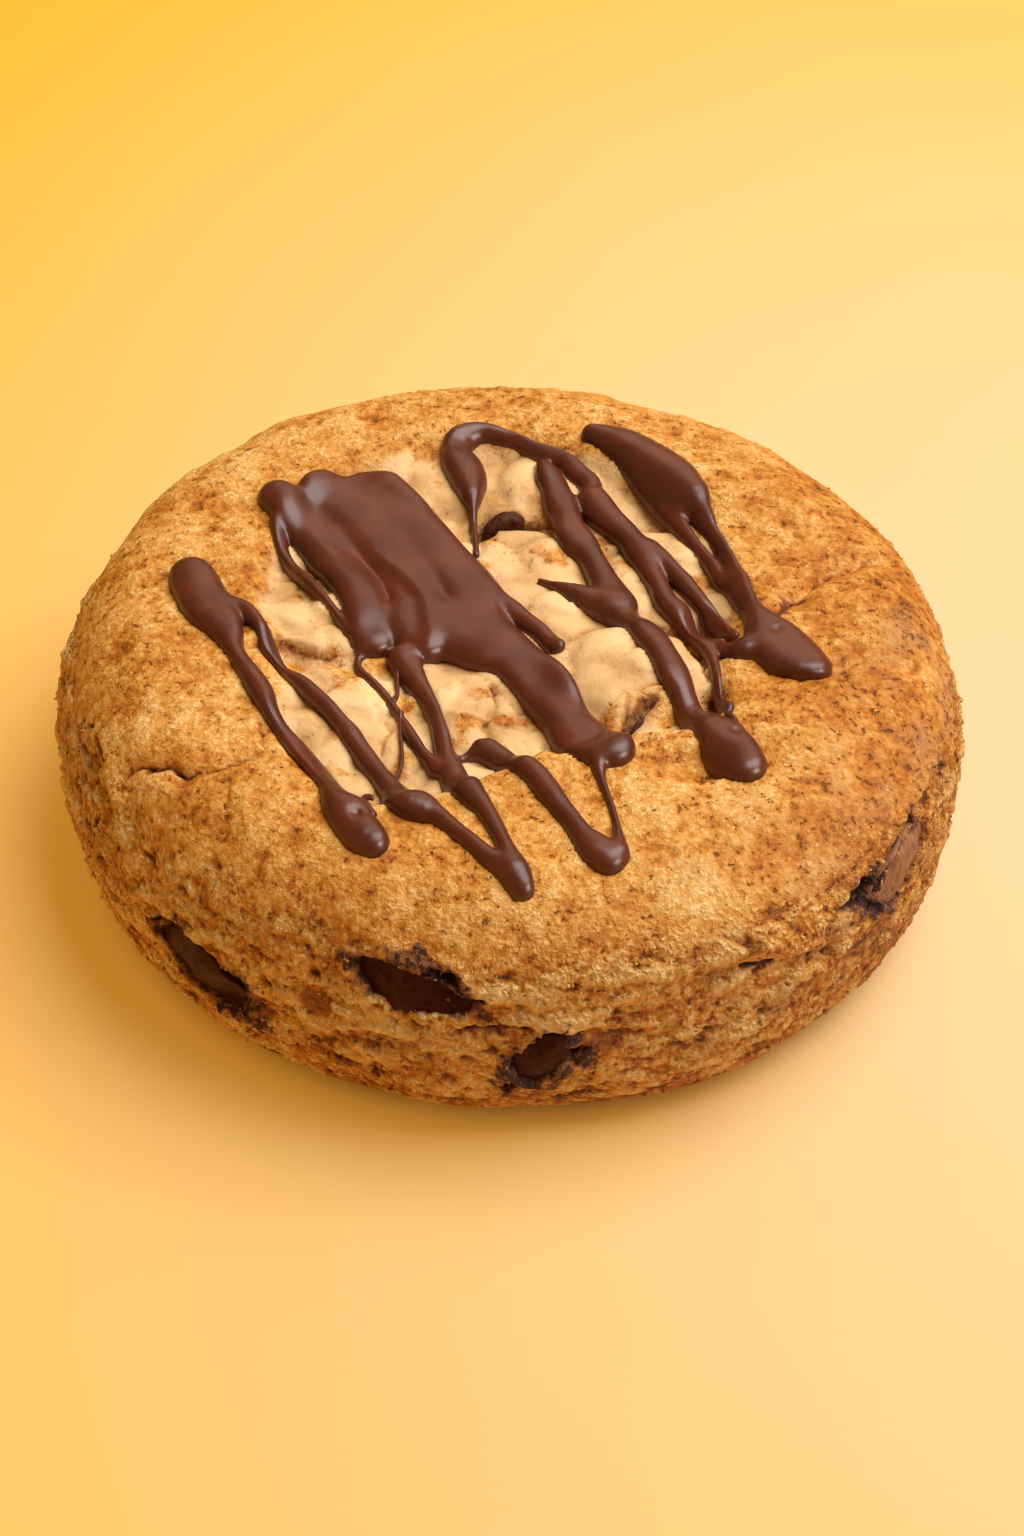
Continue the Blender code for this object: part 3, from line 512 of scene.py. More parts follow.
def chunk_hollows(place):
    """Depth of the hollows at each place, the stain round them, and the lip that stands up at their edges."""
    depth, stain, lip = np.zeros(len(place)), np.zeros(len(place)), np.zeros(len(place))
    for name, (point, axes) in CHUNK_FRAMES.items():
        out, along, across = axes @ (place - point).T
        inside = [np.abs(away) < far for away, far in zip((out, along, across), CHUNK_REACH)]
        near = np.nonzero(np.all(inside, axis=0))[0]
        here = place[near]
        u = along[near] + 0.24 * noise(here, 1.5, 71) + 0.20 * noise(here, 0.7, 75)
        v = across[near] + 0.24 * noise(here, 1.5, 72) + 0.20 * noise(here, 0.7, 76)
        face = in_outline(chunk_outline(name, "face"), u, v)
        gap = np.min([in_outline(corners, u, v) for corners in chunk_outline(name, "gaps")], axis=0)
        around = in_outline(chunk_outline(name, "stain"), u, v)
        edge = np.minimum(face, gap)
        face_hole = FACE_HOLLOW * smooth_step(0.15, -0.40, face)
        hole = np.maximum(face_hole, GAP_HOLLOW * smooth_step(0.15, -0.75, gap))
        blotch = around + 1.8 * noise(here, 2.2, 73) + 0.9 * noise(here, 1.0, 74)
        smear = np.maximum(0.80 * smooth_step(0.8, -1.6, blotch), 0.9 * smooth_step(0.25, -0.2, edge))
        depth[near] = np.maximum(depth[near], hole)
        stain[near] = np.maximum(stain[near], smear)
        bank = np.exp(-(((edge - 0.6) / 0.6) ** 2)) * (0.30 + 0.35 * noise(here, 1.8, 77))
        lip[near] = np.maximum(lip[near], bank)
    return depth, stain, lip


# %% [markdown]
# ## The drizzle's route
#
# Melted chocolate was thrown across the cookie from a spoon: a broad pool, and strands that swell
# into blobs where they slowed down. Each strand is a list of points with a half-width, and a smooth
# curve runs through them. The routes come before the crust, because the dough has to stay under the
# chocolate.

# %% Strands of the drizzle in plan
STRANDS = {
    "left_run": ((-39, 2.2, 2.9), (-38.3, 0.6, 3.3), (-36.1, -4.2, 3.3), (-33.7, -8, 2.3),
        (-32, -12, 1.25), (-28.6, -18, 1.6), (-26.5, -22.3, 1.15), (-21.7, -28.7, 1.5),
        (-19.4, -32.5, 1.6), (-17.4, -36.4, 2.5), (-15.6, -39.8, 2.7), (-14.2, -41.4, 2.1)),
    "left_branch": ((-34.6, -3, 1.6), (-32.2, -4, 1.4), (-30, -6.8, 1.05), (-28.4, -9.6, 1.2),
        (-26.6, -12.2, 0.75), (-24.6, -14.5, 1.2), (-19.3, -21.2, 1.1), (-17.7, -23.4, 1.4),
        (-13.2, -30.4, 1.4), (-11.1, -34.2, 2.6), (-9.4, -35.6, 2.2), (-7, -37.2, 1.2), (-1.8, -43, 1.2),
        (1, -45.2, 1.5)),
    "front_run": ((-12.8, -9, 2.2), (-11.9, -11.2, 1.8), (-9.9, -15.6, 1.2), (-8.6, -19.1, 1),
        (-7, -25.2, 1.2), (-5.6, -29.8, 2), (-4, -33, 1.8), (-2.5, -35.2, 1.3), (-1, -38.3, 1.15),
        (0.4, -42, 1.1), (1.4, -45, 1.9), (2.1, -46.6, 1.6)),
    "thin_run": ((-17.6, -7.6, 0.6), (-18.1, -10.3, 0.5), (-14.7, -15.2, 0.65), (-12.4, -19.4, 0.6),
        (-11.2, -22.3, 0.95), (-9.7, -24.9, 0.7), (-8, -27.4, 1)),
    "knob_run": ((-30, 14.2, 1.1), (-29.3, 11.1, 0.95), (-28.1, 8.1, 0.9), (-25.3, 3.4, 0.85),
        (-23, 0.2, 0.7), (-19.6, -5.6, 0.5)),
    "hook": ((-5.3, 11.9, 0.45), (-6, 19.5, 0.5), (-6.5, 22.7, 1.7), (-7, 25.9, 2.6), (-7.8, 28.8, 2.9),
        (-8.7, 31.8, 2.4), (-8.5, 34, 1.9), (-7, 35.4, 1.5), (-5.1, 35.8, 1.15), (-1.2, 34.7, 0.9),
        (1, 33.4, 1), (4.8, 31.6, 1.3), (6.8, 29.2, 1.65), (8.5, 26.6, 1.6), (8.9, 23.7, 1.3)),
    "upper_run": ((2.4, 30.3, 1.1), (3.2, 27.6, 2), (4.1, 25.3, 2.2), (6, 17.8, 2.3), (7.2, 15.1, 2.6),
        (8.5, 12.9, 1.9), (9.8, 9.8, 1.9), (11, 6.3, 2.4), (12.1, 3.2, 2.7)),
    "upper_spike": ((2.6, 7.3, 0.35), (4.2, 6.6, 0.5), (6, 5.5, 1.2), (8, 4.4, 1.9), (10.8, 2.9, 2.4)),
    "right_run": ((11.9, 2.8, 2.4), (13, 0.6, 2), (16.6, -6.1, 2.2), (19.9, -14.2, 2), (22, -19, 2.1),
        (23.9, -22.3, 3), (25.2, -24.9, 3.3), (26.2, -26.4, 2.9)),
    "weave_run": ((8.9, 23.4, 2.3), (10.7, 20.4, 2.3), (13.2, 17.2, 1.9), (15.2, 13, 2), (16.3, 9.5, 1.6),
        (17.2, 7.1, 1.4), (18, 4.5, 1.65), (19.6, 2.3, 1.75), (21.2, -0.6, 1.3), (22.9, -5.1, 0.9),
        (23.5, -9, 0.7), (23.9, -13.3, 0.5), (25.1, -18.9, 0.5), (25.8, -20.6, 0.6)),
    "weave_branch": ((16, 14.4, 1.7), (18.8, 10.4, 1.4), (20.6, 7.7, 1.35), (22.3, 4.9, 1.1),
        (23.9, 1.8, 1.05), (25.8, -3.2, 0.7)),
    "weave_link": ((22.4, -0.6, 0.7), (23.7, -3.4, 0.85), (24.9, -5.6, 0.95), (26.3, -6.2, 1.6),
        (28.4, -5.6, 2)),
    "far_run": ((8.6, 35.3, 1.6), (11.8, 33.8, 2.7), (15.2, 30.6, 3.7), (17.8, 27.1, 4.2),
        (19.5, 24, 3.7), (21, 22, 2)),
    "far_left_leg": ((18, 22.6, 1.6), (20.4, 17.4, 1), (23.1, 12.3, 0.85), (24.6, 8.7, 0.95),
        (26.4, 7, 1.4)),
    "far_right_leg": ((21.3, 23, 2.2), (23.3, 17.4, 1.1), (24.6, 14.1, 0.9), (26, 9.8, 1),
        (26.6, 6.5, 1.5), (27.6, 2.7, 1.4), (28.8, -0.7, 1.9), (30.6, -4.4, 3.8), (32.2, -7, 4.1),
        (34.2, -8.7, 3), (35.5, -9.1, 1.6)),
    "short_run": ((-5.1, -25.5, 0.4), (-4.1, -24.8, 0.7), (-2.6, -24.2, 1.6), (-0.8, -25.6, 1.8),
        (1, -27.6, 1.5), (3.2, -30, 1.7), (5.3, -33.6, 1.5), (7, -36.3, 1.3), (8.3, -38.8, 1.5),
        (9.8, -40.8, 2.1), (11.2, -42, 2.1)),
    "drip": ((9.9, -27.3, 1.1), (10.3, -29.6, 0.6), (11, -32.3, 0.45), (11.6, -34.8, 0.45),
        (12.2, -38, 0.55), (12.4, -41.2, 1.3)),
    "pool_finger": ((-3.6, 3.4, 2.2), (-0.6, 0.8, 1.7), (1.4, -1.1, 1.35), (3.1, -2.8, 1.3),
        (4.2, -4.5, 1.35), (4.9, -5.6, 1.25)),
    "pool_brow": ((-25.4, 20.4, 2.6), (-22.9, 21.5, 2.9), (-19.5, 23, 3.5)),
    "pool_left": ((-30.2, 18.5, 2.9), (-26.7, 15.6, 3.8), (-23, 10, 3.6), (-19.7, 4, 3.3),
        (-17.7, -1.6, 3.1), (-16.8, -6.1, 2.8)),
    "pool_middle": ((-24.1, 20.8, 4.3), (-19.7, 16, 4.7), (-15.1, 9.3, 4.4), (-12.3, 2.7, 3.9),
        (-10.7, -2.9, 3.6), (-10.5, -6.5, 2.9)),
    "pool_right": ((-18.4, 22.8, 4.2), (-14.4, 17.5, 4.2), (-10.2, 10.7, 4.2), (-6.2, 4.4, 4.3),
        (-4.2, -1.8, 3.6), (-0.1, -7.9, 3.7), (3.8, -13.5, 3.6), (6.3, -18.4, 3.2), (8.8, -22.8, 4),
        (11.3, -24.9, 3.1)),
    "pool_base": ((-11.7, -2.8, 4.9), (-7.1, -3.6, 5), (-2.6, -6.6, 4.4)),
}
CURVE_STEPS = 12
STATION_STEP = 0.8


def smooth_curve(points, stops):
    """Places on the Catmull-Rom curve through the points: stop 2.5 is half-way from point 2 to point 3."""
    padded = np.vstack((2 * points[0] - points[1], points, 2 * points[-1] - points[-2]))
    before = np.clip(stops.astype(int), 0, len(points) - 2)
    p0, p1, p2, p3 = (padded[before + k] for k in range(4))
    t = (stops - before)[:, None]
    bend = (2 * p0 - 5 * p1 + 4 * p2 - p3) * t**2 + (3 * p1 - p0 - 3 * p2 + p3) * t**3
    return 0.5 * (2 * p1 + (p2 - p0) * t + bend)


def smooth_route(points, step):
    """Evenly stepped points of the smooth curve through a strand's points, half-width included."""
    points = np.asarray(points, float)
    rows = smooth_curve(points, np.arange(CURVE_STEPS * (len(points) - 1) + 1) / CURVE_STEPS)
    along = np.concatenate(([0.0], np.cumsum(np.hypot(np.diff(rows[:, 0]), np.diff(rows[:, 1])))))
    stops = np.linspace(0.0, along[-1], max(2, round(along[-1] / step)) + 1)
    return np.stack([np.interp(stops, along, rows[:, k]) for k in range(3)], axis=-1)


ROUTES = {name: smooth_route(points, STATION_STEP) for name, points in STRANDS.items()}
print("strands:", len(ROUTES), "stations:", sum(len(route) for route in ROUTES.values()))

# %% [markdown]
# ## The bed under the drizzle
#
# Chocolate bridges small bumps, so it lies on a smoothed copy of the dough. The bed is a height map
# over the plan, in steps a little over a quarter of a millimetre. Because the shoulder is pushed out
# sideways as well as up, each spot of the map first looks for the place of the turned form that ends
# up there.

# %% Height of the dough over the plan
BED_STEP = 0.285
BED_X = np.arange(-44.0, 40.0, BED_STEP)
BED_Y = np.arange(-50.5, 40.5, BED_STEP)
BED_BLUR = 3


def dough_height(x, y):
    """Height of the large forms over plan points: a few rounds of stepping back find the turned place."""
    from_x, from_y = x.copy(), y.copy()
    for _ in range(4):
        r = np.maximum(np.hypot(from_x, from_y), 1e-6)
        z = top_height(r)
        out, up = profile_normal(r, z)
        rise = large_relief(from_x, from_y, z)
        from_x, from_y = x - rise * out * from_x / r, y - rise * out * from_y / r
    return z + rise * up


def blurred(grid, reach, rounds):
    """The grid averaged over a square of 2 reach + 1 steps, several times, by running sums."""
    for _ in range(rounds):
        for axis in (0, 1):
            padded = np.pad(grid, [(reach + 1, reach) if k == axis else (0, 0) for k in (0, 1)], mode="edge")
            running = np.cumsum(padded, axis=axis)
            span = 2 * reach + 1
            ahead = np.take(running, range(span, running.shape[axis]), axis=axis)
            behind = np.take(running, range(running.shape[axis] - span), axis=axis)
            grid = (ahead - behind) / span
    return grid


grid_x, grid_y = np.meshgrid(BED_X, BED_Y, indexing="ij")
BED = blurred(dough_height(grid_x, grid_y), BED_BLUR, 2)
print("bed:", BED.shape, "lowest and highest:", round(float(BED.min()), 1), round(float(BED.max()), 1))


def read_map(grid, x, y):
    """Value of a plan map at points x, y: the mean of the four nearest steps, weighted by closeness."""
    i = np.clip((x - BED_X[0]) / BED_STEP, 0.0, len(BED_X) - 1.001)
    j = np.clip((y - BED_Y[0]) / BED_STEP, 0.0, len(BED_Y) - 1.001)
    i0, j0 = i.astype(int), j.astype(int)
    u, v = i - i0, j - j0
    near = grid[i0, j0] * (1 - u) + grid[i0 + 1, j0] * u
    far = grid[i0, j0 + 1] * (1 - u) + grid[i0 + 1, j0 + 1] * u
    return near * (1 - v) + far * v


# %% [markdown]
# ## One body of chocolate from many strands
#
# Where strands meet, the liquid flows together into soft fillets. Joining tubes would leave hard
# creases, so the drizzle is a field in space instead: each strand gives a distance, the distances are
# blended so that near ones melt together, and the surface is where the blend is zero. A grid surface
# can't branch or close round a gap, so surface nets turn the field into a mesh.

# %% The field of the strands
FULL_RISE = 2.3
RISE_RATE = 0.75
NARROWER = 0.92
MELT = 0.30
SUNK = 0.75
# The section's power: low is round, high is square. Broad strands have flatter backs
ROUND_POWER = 2.1
SQUARE_POWER = 2.7
# The bed is smoother still under the pool's middle
POOL_BLUR = 12
LAYERS = np.arange(-SUNK - BED_STEP, 3.6, BED_STEP)


def strand_field(route, x, y, seed):
    """For plan points: distance to the strand's middle line, half-width and rise, at the best station.

    The strand is the envelope of circles along its route, so the best station is the one with the
    least distance less half-width. Noise varies the width and the rise of all but the broad places.
    """
    best = np.full(x.shape, 1e9)
    nearest = np.full(x.shape, 1e9)
    width = np.ones(x.shape)
    lifts = np.ones(x.shape)
    stations = np.column_stack((route[:, :2], np.zeros(len(route))))
    calm = smooth_step(3.6, 2.2, route[:, 2])
    swell = 1.0 + 0.09 * noise(stations, 3.1, seed) * calm
    lift = 1.0 + 0.14 * noise(stations, 4.0, seed + 50) * calm
    rows = np.column_stack((route[:, :2], route[:, 2] * swell, lift))
    for (x0, y0, w0, h0), (x1, y1, w1, h1) in zip(rows[:-1], rows[1:]):
        dx, dy = x1 - x0, y1 - y0
        t = np.clip(((x - x0) * dx + (y - y0) * dy) / (dx * dx + dy * dy), 0.0, 1.0)
        distance = np.hypot(x - x0 - t * dx, y - y0 - t * dy)
        here = NARROWER * (w0 + (w1 - w0) * t)
        nearer = distance - here < best
        best = np.where(nearer, distance - here, best)
        nearest = np.where(nearer, distance, nearest)
        width = np.where(nearer, here, width)
        lifts = np.where(nearer, h0 + (h1 - h0) * t, lifts)
    return nearest, width, FULL_RISE * (1.0 - np.exp(-RISE_RATE * width)) * lifts


def drizzle_field():
    """Blend of all strands: -MELT ln(sum of exp(-s / MELT)), s being each strand's distance to its skin.

    The section is a super-ellipse, (d/w)^n + (h/rise)^n = 1, and s is its value less one over its slope.
    """
    total = np.zeros((len(BED_X), len(BED_Y), len(LAYERS)), np.float32)
    for seed, route in enumerate(ROUTES.values()):
        reach = route[:, 2].max() + 3.0
        i = slice(*np.searchsorted(BED_X, (route[:, 0].min() - reach, route[:, 0].max() + reach)))
        j = slice(*np.searchsorted(BED_Y, (route[:, 1].min() - reach, route[:, 1].max() + reach)))
        distance, width, rise = strand_field(route, grid_x[i, j], grid_y[i, j], 200 + seed)
        power = np.clip(ROUND_POWER + 0.12 * width, ROUND_POWER, SQUARE_POWER)[..., None]
        across = (distance / width)[..., None]
        height = np.maximum(LAYERS, 0.0) / rise[..., None]
        value = np.maximum((across**power + height**power) ** (1.0 / power), 0.05)
        slope_across = (across / value) ** (power - 1) / width[..., None]
        slope_up = (height / value) ** (power - 1) / rise[..., None]
        skin = (value - 1.0) / np.maximum(np.hypot(slope_across, slope_up), 0.05)
        total[i, j] += np.exp(-np.clip(skin, -12.0, 9.0) / MELT)
    blend = -MELT * np.log(np.maximum(total, 1e-12))
    return np.maximum(blend, (-LAYERS - SUNK)[None, None, :])


field = drizzle_field()
floor_layer = int(np.argmin(np.abs(LAYERS)))
PLAN_EDGE = field[:, :, floor_layer].astype(float)
# Lines along the pool: points, height (a valley where below zero), half-width
POOL_LINES = (
    (((-27.5, 19.9), (-23.4, 11.8), (-17.9, 6.7), (-14.3, 3.7), (-12, -0.3), (-11.2, -5.5),
     (-11.5, -9.6)), -0.36, 1.4),
    (((-18, 9), (-14.4, 5.3), (-11.1, 0.3), (-10.1, -6), (-10.4, -11)), 0.26, 1),
    (((-29, 18), (-20, 4.7), (-17.3, -1.4)), 0.12, 1.6),
    (((-16.1, -38.3), (-15.9, -38.7)), -0.6, 0.7),
    (((25, -21.6), (25.6, -22.6)), -0.45, 0.9),
    (((30.2, -3.4), (31, -4.6)), -0.35, 1),
)


def pool_lines(x, y):
    """Height of the valleys and ridges on the chocolate: a bell curve across each line, faded at its ends."""
    total = np.zeros(x.shape)
    for points, rise, half_width in POOL_LINES:
        signed, fraction = along_path(points, x, y)
        ends = 0.3 + 0.7 * np.sin(np.pi * np.clip(fraction, 0.02, 0.98)) ** 0.5
        total += rise * ends * np.exp(-((signed / half_width) ** 2))
    return total


inner = smooth_step(-1.2, -2.6, blurred(PLAN_EDGE, 3, 2))
LAID = BED + (blurred(BED, POOL_BLUR, 2) - BED) * inner + pool_lines(grid_x, grid_y)
covered_area = float((PLAN_EDGE < 0).sum()) * BED_STEP**2
print("field:", field.shape, "covered plan in square mm:", round(covered_area))

# %% [markdown]
# ## From the field to a mesh
#
# Surface nets put one point in every grid cell that the surface passes through, and join the points
# round every grid edge that it crosses. The faces come out nearly square, and forks and gaps need no
# special care. Three rounds of smoothing take out the small steps of the grid.


# %% Surface nets
def surface_nets(field):
    """Points and four-sided faces of the surface where the field is zero.

    Each crossed cell gets a point, the mean of where the surface crosses its edges, in grid steps. Each
    crossed edge gets a face, which looks towards the positive side.
    """
    inside = field < 0
    shape = tuple(n - 1 for n in field.shape)
    count = np.zeros(shape, np.int16)
    sums = np.zeros(shape + (3,))
    for axis in range(3):
        a = np.moveaxis(field, axis, 0)
        low, high = a[:-1], a[1:]
        crossed = (low < 0) != (high < 0)
        part = np.where(crossed, low / np.where(crossed, low - high, 1.0), 0.0)
        for u in (0, 1):
            for v in (0, 1):
                window = (slice(None), slice(u, u + shape[(axis + 1) % 3 if axis == 0 else 0]),
                          slice(v, v + shape[2 if axis < 2 else 1]))
                hit = np.moveaxis(crossed[window], 0, axis)
                place = np.moveaxis(part[window], 0, axis)
                others = [k for k in range(3) if k != axis]
                count += hit
                sums[..., axis] += place
                sums[..., others[0]] += hit * u
                sums[..., others[1]] += hit * v
    active = count > 0
    index = np.full(shape, -1)
    index[active] = np.arange(active.sum())
    points = np.argwhere(active) + sums[active] / count[active][:, None]
    faces = []
    for axis in range(3):
        a = np.moveaxis(inside, axis, 0)
        ids = np.moveaxis(index, axis, 0)
        i, j, k = np.nonzero(a[:-1, 1:-1, 1:-1] != a[1:, 1:-1, 1:-1])
        j, k = j + 1, k + 1
        quads = np.stack((ids[i, j - 1, k - 1], ids[i, j, k - 1], ids[i, j, k], ids[i, j - 1, k]), axis=-1)
        turned = a[i, j, k] if axis != 1 else ~a[i, j, k]
        faces.append(np.where(turned[:, None], quads, quads[:, ::-1]))
    return points, np.vstack(faces)


def relaxed(points, faces, rounds):
    """Points moved half-way to their neighbours' mean, then a little further back, so nothing shrinks."""
    edges = np.vstack([faces[:, [k, (k + 1) % 4]] for k in range(4)])
    degree = np.bincount(edges[:, 0], minlength=len(points))[:, None]
    for factor in (0.5, -0.51) * rounds:
        sums = [np.bincount(edges[:, 0], points[edges[:, 1], k], len(points)) for k in range(3)]
        points = points + factor * (np.stack(sums, axis=-1) / degree - points)
    return points


net_points, net_faces = surface_nets(field)
net_points = relaxed(net_points, net_faces, 3)
print("drizzle net:", len(net_points), "points,", 2 * len(net_faces), "triangles")

# %% [markdown]
# ## Making a mesh from arrays
#
# Every new piece ends the same way: points in millimetres and lists of faces become a mesh in
# metres, smooth shaded, with a material. Values that the shader needs, such as how toasted a spot is,
# are stored on the points as attributes.


# %% Helper that makes a piece
def new_piece(name, points, faces, material, replaces=(), values=None):
    """An object at the origin that rides with the cookie. values is a dict of arrays, one number a point."""
    mesh = bpy.data.meshes.new(name)
    mesh.from_pydata((np.asarray(points) * MM).tolist(), [], [list(map(int, face)) for face in faces])
    mesh.shade_smooth()
    for label, numbers in (values or {}).items():
        attribute = mesh.attributes.new(label, "FLOAT", "POINT")
        attribute.data.foreach_set("value", np.asarray(numbers, np.float32))
    mesh.materials.append(material)
    piece = bpy.data.objects.new(name, mesh)
    bpy.context.scene.collection.objects.link(piece)
    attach(piece, "root")
    if replaces:
        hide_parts(*replaces)
    triangles = sum(len(face) - 2 for face in faces)
    print(name, "-", len(points), "points,", triangles, "triangles")
    return piece


# %% [markdown]
# ## Shader sums in plain Python
#
# A material is a graph of nodes, which is slow to write and hard to read. The class below wraps one
# output socket. Adding, subtracting or multiplying two wires adds the Math node that does it, so a
# mask can be written as a sum. Every other node comes from one method.

# %% A socket that can be added and multiplied
class Wire:
    """One output socket of a shader node. Plain numbers work on either side of +, -, * and /."""

    def __init__(self, tree, socket=None):
        self.tree = tree
        self.socket = socket

    def node(self, kind, settings=None, inputs=None, output=0):
        """Add a node: its settings first, then its sockets' values or links, by name or number."""
        made = self.tree.nodes.new("ShaderNode" + kind)
        for name, value in (settings or {}).items():
            setattr(made, name, value)
        for name, value in (inputs or {}).items():
            if isinstance(value, Wire):
                self.tree.links.new(value.socket, made.inputs[name])
            else:
                made.inputs[name].default_value = value
        return Wire(self.tree, made.outputs[output])

    def also(self, output):
        """Another output of the node that this wire comes from."""
        return Wire(self.tree, self.socket.node.outputs[output])

    def math(self, operation, *values):
        """A Math node with this operation on the values, in their order."""
        return self.node("Math", {"operation": operation}, dict(enumerate(values)))

    def __add__(self, other):
        return self.math("ADD", self, other)

    def __sub__(self, other):
        return self.math("SUBTRACT", self, other)

    def __rsub__(self, other):
        return self.math("SUBTRACT", other, self)

    def __mul__(self, other):
        return self.math("MULTIPLY", self, other)

    def __truediv__(self, other):
        return self.math("DIVIDE", self, other)

    __radd__ = __add__
    __rmul__ = __mul__

    def most(self, other):
        """The larger of this value and the other."""
        return self.math("MAXIMUM", self, other)

    def step(self, low, high):
        """0 below low, 1 above high and an S curve between; low may be the larger one."""
        inputs = {"Value": self, "From Min": low, "From Max": high}
        return self.node("MapRange", {"interpolation_type": "SMOOTHSTEP"}, inputs)

    def blend(self, first, second):
        """The colour first where this wire is 0, and second where it is 1."""
        return self.node("Mix", {"data_type": "RGBA"}, {0: self, 6: first, 7: second}, 2)

    def ramp(self, stops):
        """The colour at this value: stops are (value, colour) pairs from low to high, blended in between."""
        low, high = stops[0][0], stops[-1][0]
        share = (self - low) / (high - low)
        made = share.node("ValToRGB", {}, {0: share})
        elements = made.socket.node.color_ramp.elements
        elements[0].color, elements[1].color = stops[0][1], stops[-1][1]
        for value, colour in stops[1:-1]:
            elements.new((value - low) / (high - low)).color = colour
        return made

    def scaled(self, x, y, z):
        """This place times one number on each axis."""
        return self.node("VectorMath", {"operation": "MULTIPLY"}, {0: self, 1: (x, y, z)})

    def shifted(self, other):
        """This place plus another vector."""
        return self.node("VectorMath", {"operation": "ADD"}, {0: self, 1: other})

    def length(self):
        """How far this place is from the origin."""
        return self.node("VectorMath", {"operation": "LENGTH"}, {0: self}, 1)

    def noise(self, size, detail=2.0, roughness=0.5):
        """Soft noise read at this place, its spots about size across."""
        inputs = {"Vector": self, "Scale": 1.0 / size, "Detail": detail, "Roughness": roughness}
        return self.node("TexNoise", {}, inputs)

    def warp(self, size, reach):
        """This place pushed about by noise, so that round spots become irregular."""
        push = self.node("TexNoise", {}, {"Vector": self, "Scale": 1.0 / size, "Detail": 1.0}, 1)
        centred = push.node("VectorMath", {"operation": "SUBTRACT"}, {0: push, 1: (0.5, 0.5, 0.5)})
        return self.shifted(centred.scaled(reach, reach, reach))

    def nearest(self, size):
        """Distance to the nearest of points scattered one to a cell of this size, in cell sizes."""
        return self.node("TexVoronoi", {}, {"Vector": self, "Scale": 1.0 / size})

    def spots(self, size, share, radius):
        """Round spots, one to a cell for the given share of cells: 1 at the middle and 0 at the radius."""
        distance = self.nearest(size)
        chance = distance.node("SeparateColor", {}, {0: distance.also(1)})
        width = ((chance - (1.0 - share)) / share).most(0.0) * (radius / size)
        return (1.0 - distance / (width + 0.0001)).most(0.0)


def srgb(red, green, blue):
    """A colour given as 0 to 255 on screen, as the straight light values that shaders use."""
    levels = np.array((red, green, blue)) / 255.0
    light = np.where(levels <= 0.04045, levels / 12.92, ((levels + 0.055) / 1.055) ** 2.4)
    return (*(float(value) for value in light), 1.0)


def new_material(name):
    """A material with only a Principled shader, with wires for its place in millimetres."""
    material = bpy.data.materials.new(name)
    material.use_nodes = True
    tree = material.node_tree
    shader = tree.nodes["Principled BSDF"]
    place = Wire(tree).node("TexCoord", {}, {}, 3).scaled(1.0 / MM, 1.0 / MM, 1.0 / MM)
    return material, shader, place


def plug(shader, **wires):
    """Link wires to the shader's sockets, named with _ for a space."""
    for name, wire in wires.items():
        wire.tree.links.new(wire.socket, shader.inputs[name.replace("_", " ")])


print("golden crust in straight light:", [round(v, 3) for v in srgb(232, 168, 88)])

# %% [markdown]
# ## The crust's finish
#
# Baked dough is golden where it is thin-skinned, browner where it rose nearer the heat, and pale in
# the soft middle and inside cracks. Over that the colour is painted darker in dips, cracks, holes and
# gaps, as painted shade, and lighter on the high places, as painted light. Close up it is speckled:
# dark pores and short crackle lines broken up by noise, painted dark as shade in the pits; pale
# flecks, partly specks of sugar and flour and partly painted highlight; grains of sugar painted as
# near-white glints; and a crumb of tiny domes. The patches wider than a millimetre are stored on the
# mesh's points. The shader adds what is finer, and each fine layer is both colour and bump, so that
# light agrees with it.

# %% Crust material
# BROWN to CREAM run from dips to tops: toast and tone, with painted shade in the dips and painted light on
# the tops.
BROWN = srgb(112, 54, 8)
AMBER = srgb(192, 114, 20)
GOLD = srgb(224, 160, 70)
CREAM = srgb(250, 210, 142)
TOAST = srgb(184, 108, 32)
PALE = srgb(234, 192, 134)
# In the soft middle PALE_DIP is painted shade in the dips and PALE_TOP painted light on the tops.
PALE_DIP = srgb(196, 146, 84)
PALE_TOP = srgb(250, 216, 158)
# TAN is the crust's own tan, and also painted shade at the foot of torn folds.
TAN = srgb(200, 148, 96)
# The next colour is painted shade in cracks, holes, gaps and chunk hollows, and the dark of amber patches.
SHADE_BROWN = srgb(100, 48, 12)
# The next colour is painted shade in pores and crackle lines.
PIT_SHADE = srgb(128, 60, 14)
SMEARED = srgb(146, 88, 56)
STAINED = srgb(62, 24, 11)
# The next colour paints sugar grains as glints: pale sugar with a painted highlight.
SUGAR_GLINT = srgb(255, 232, 188)


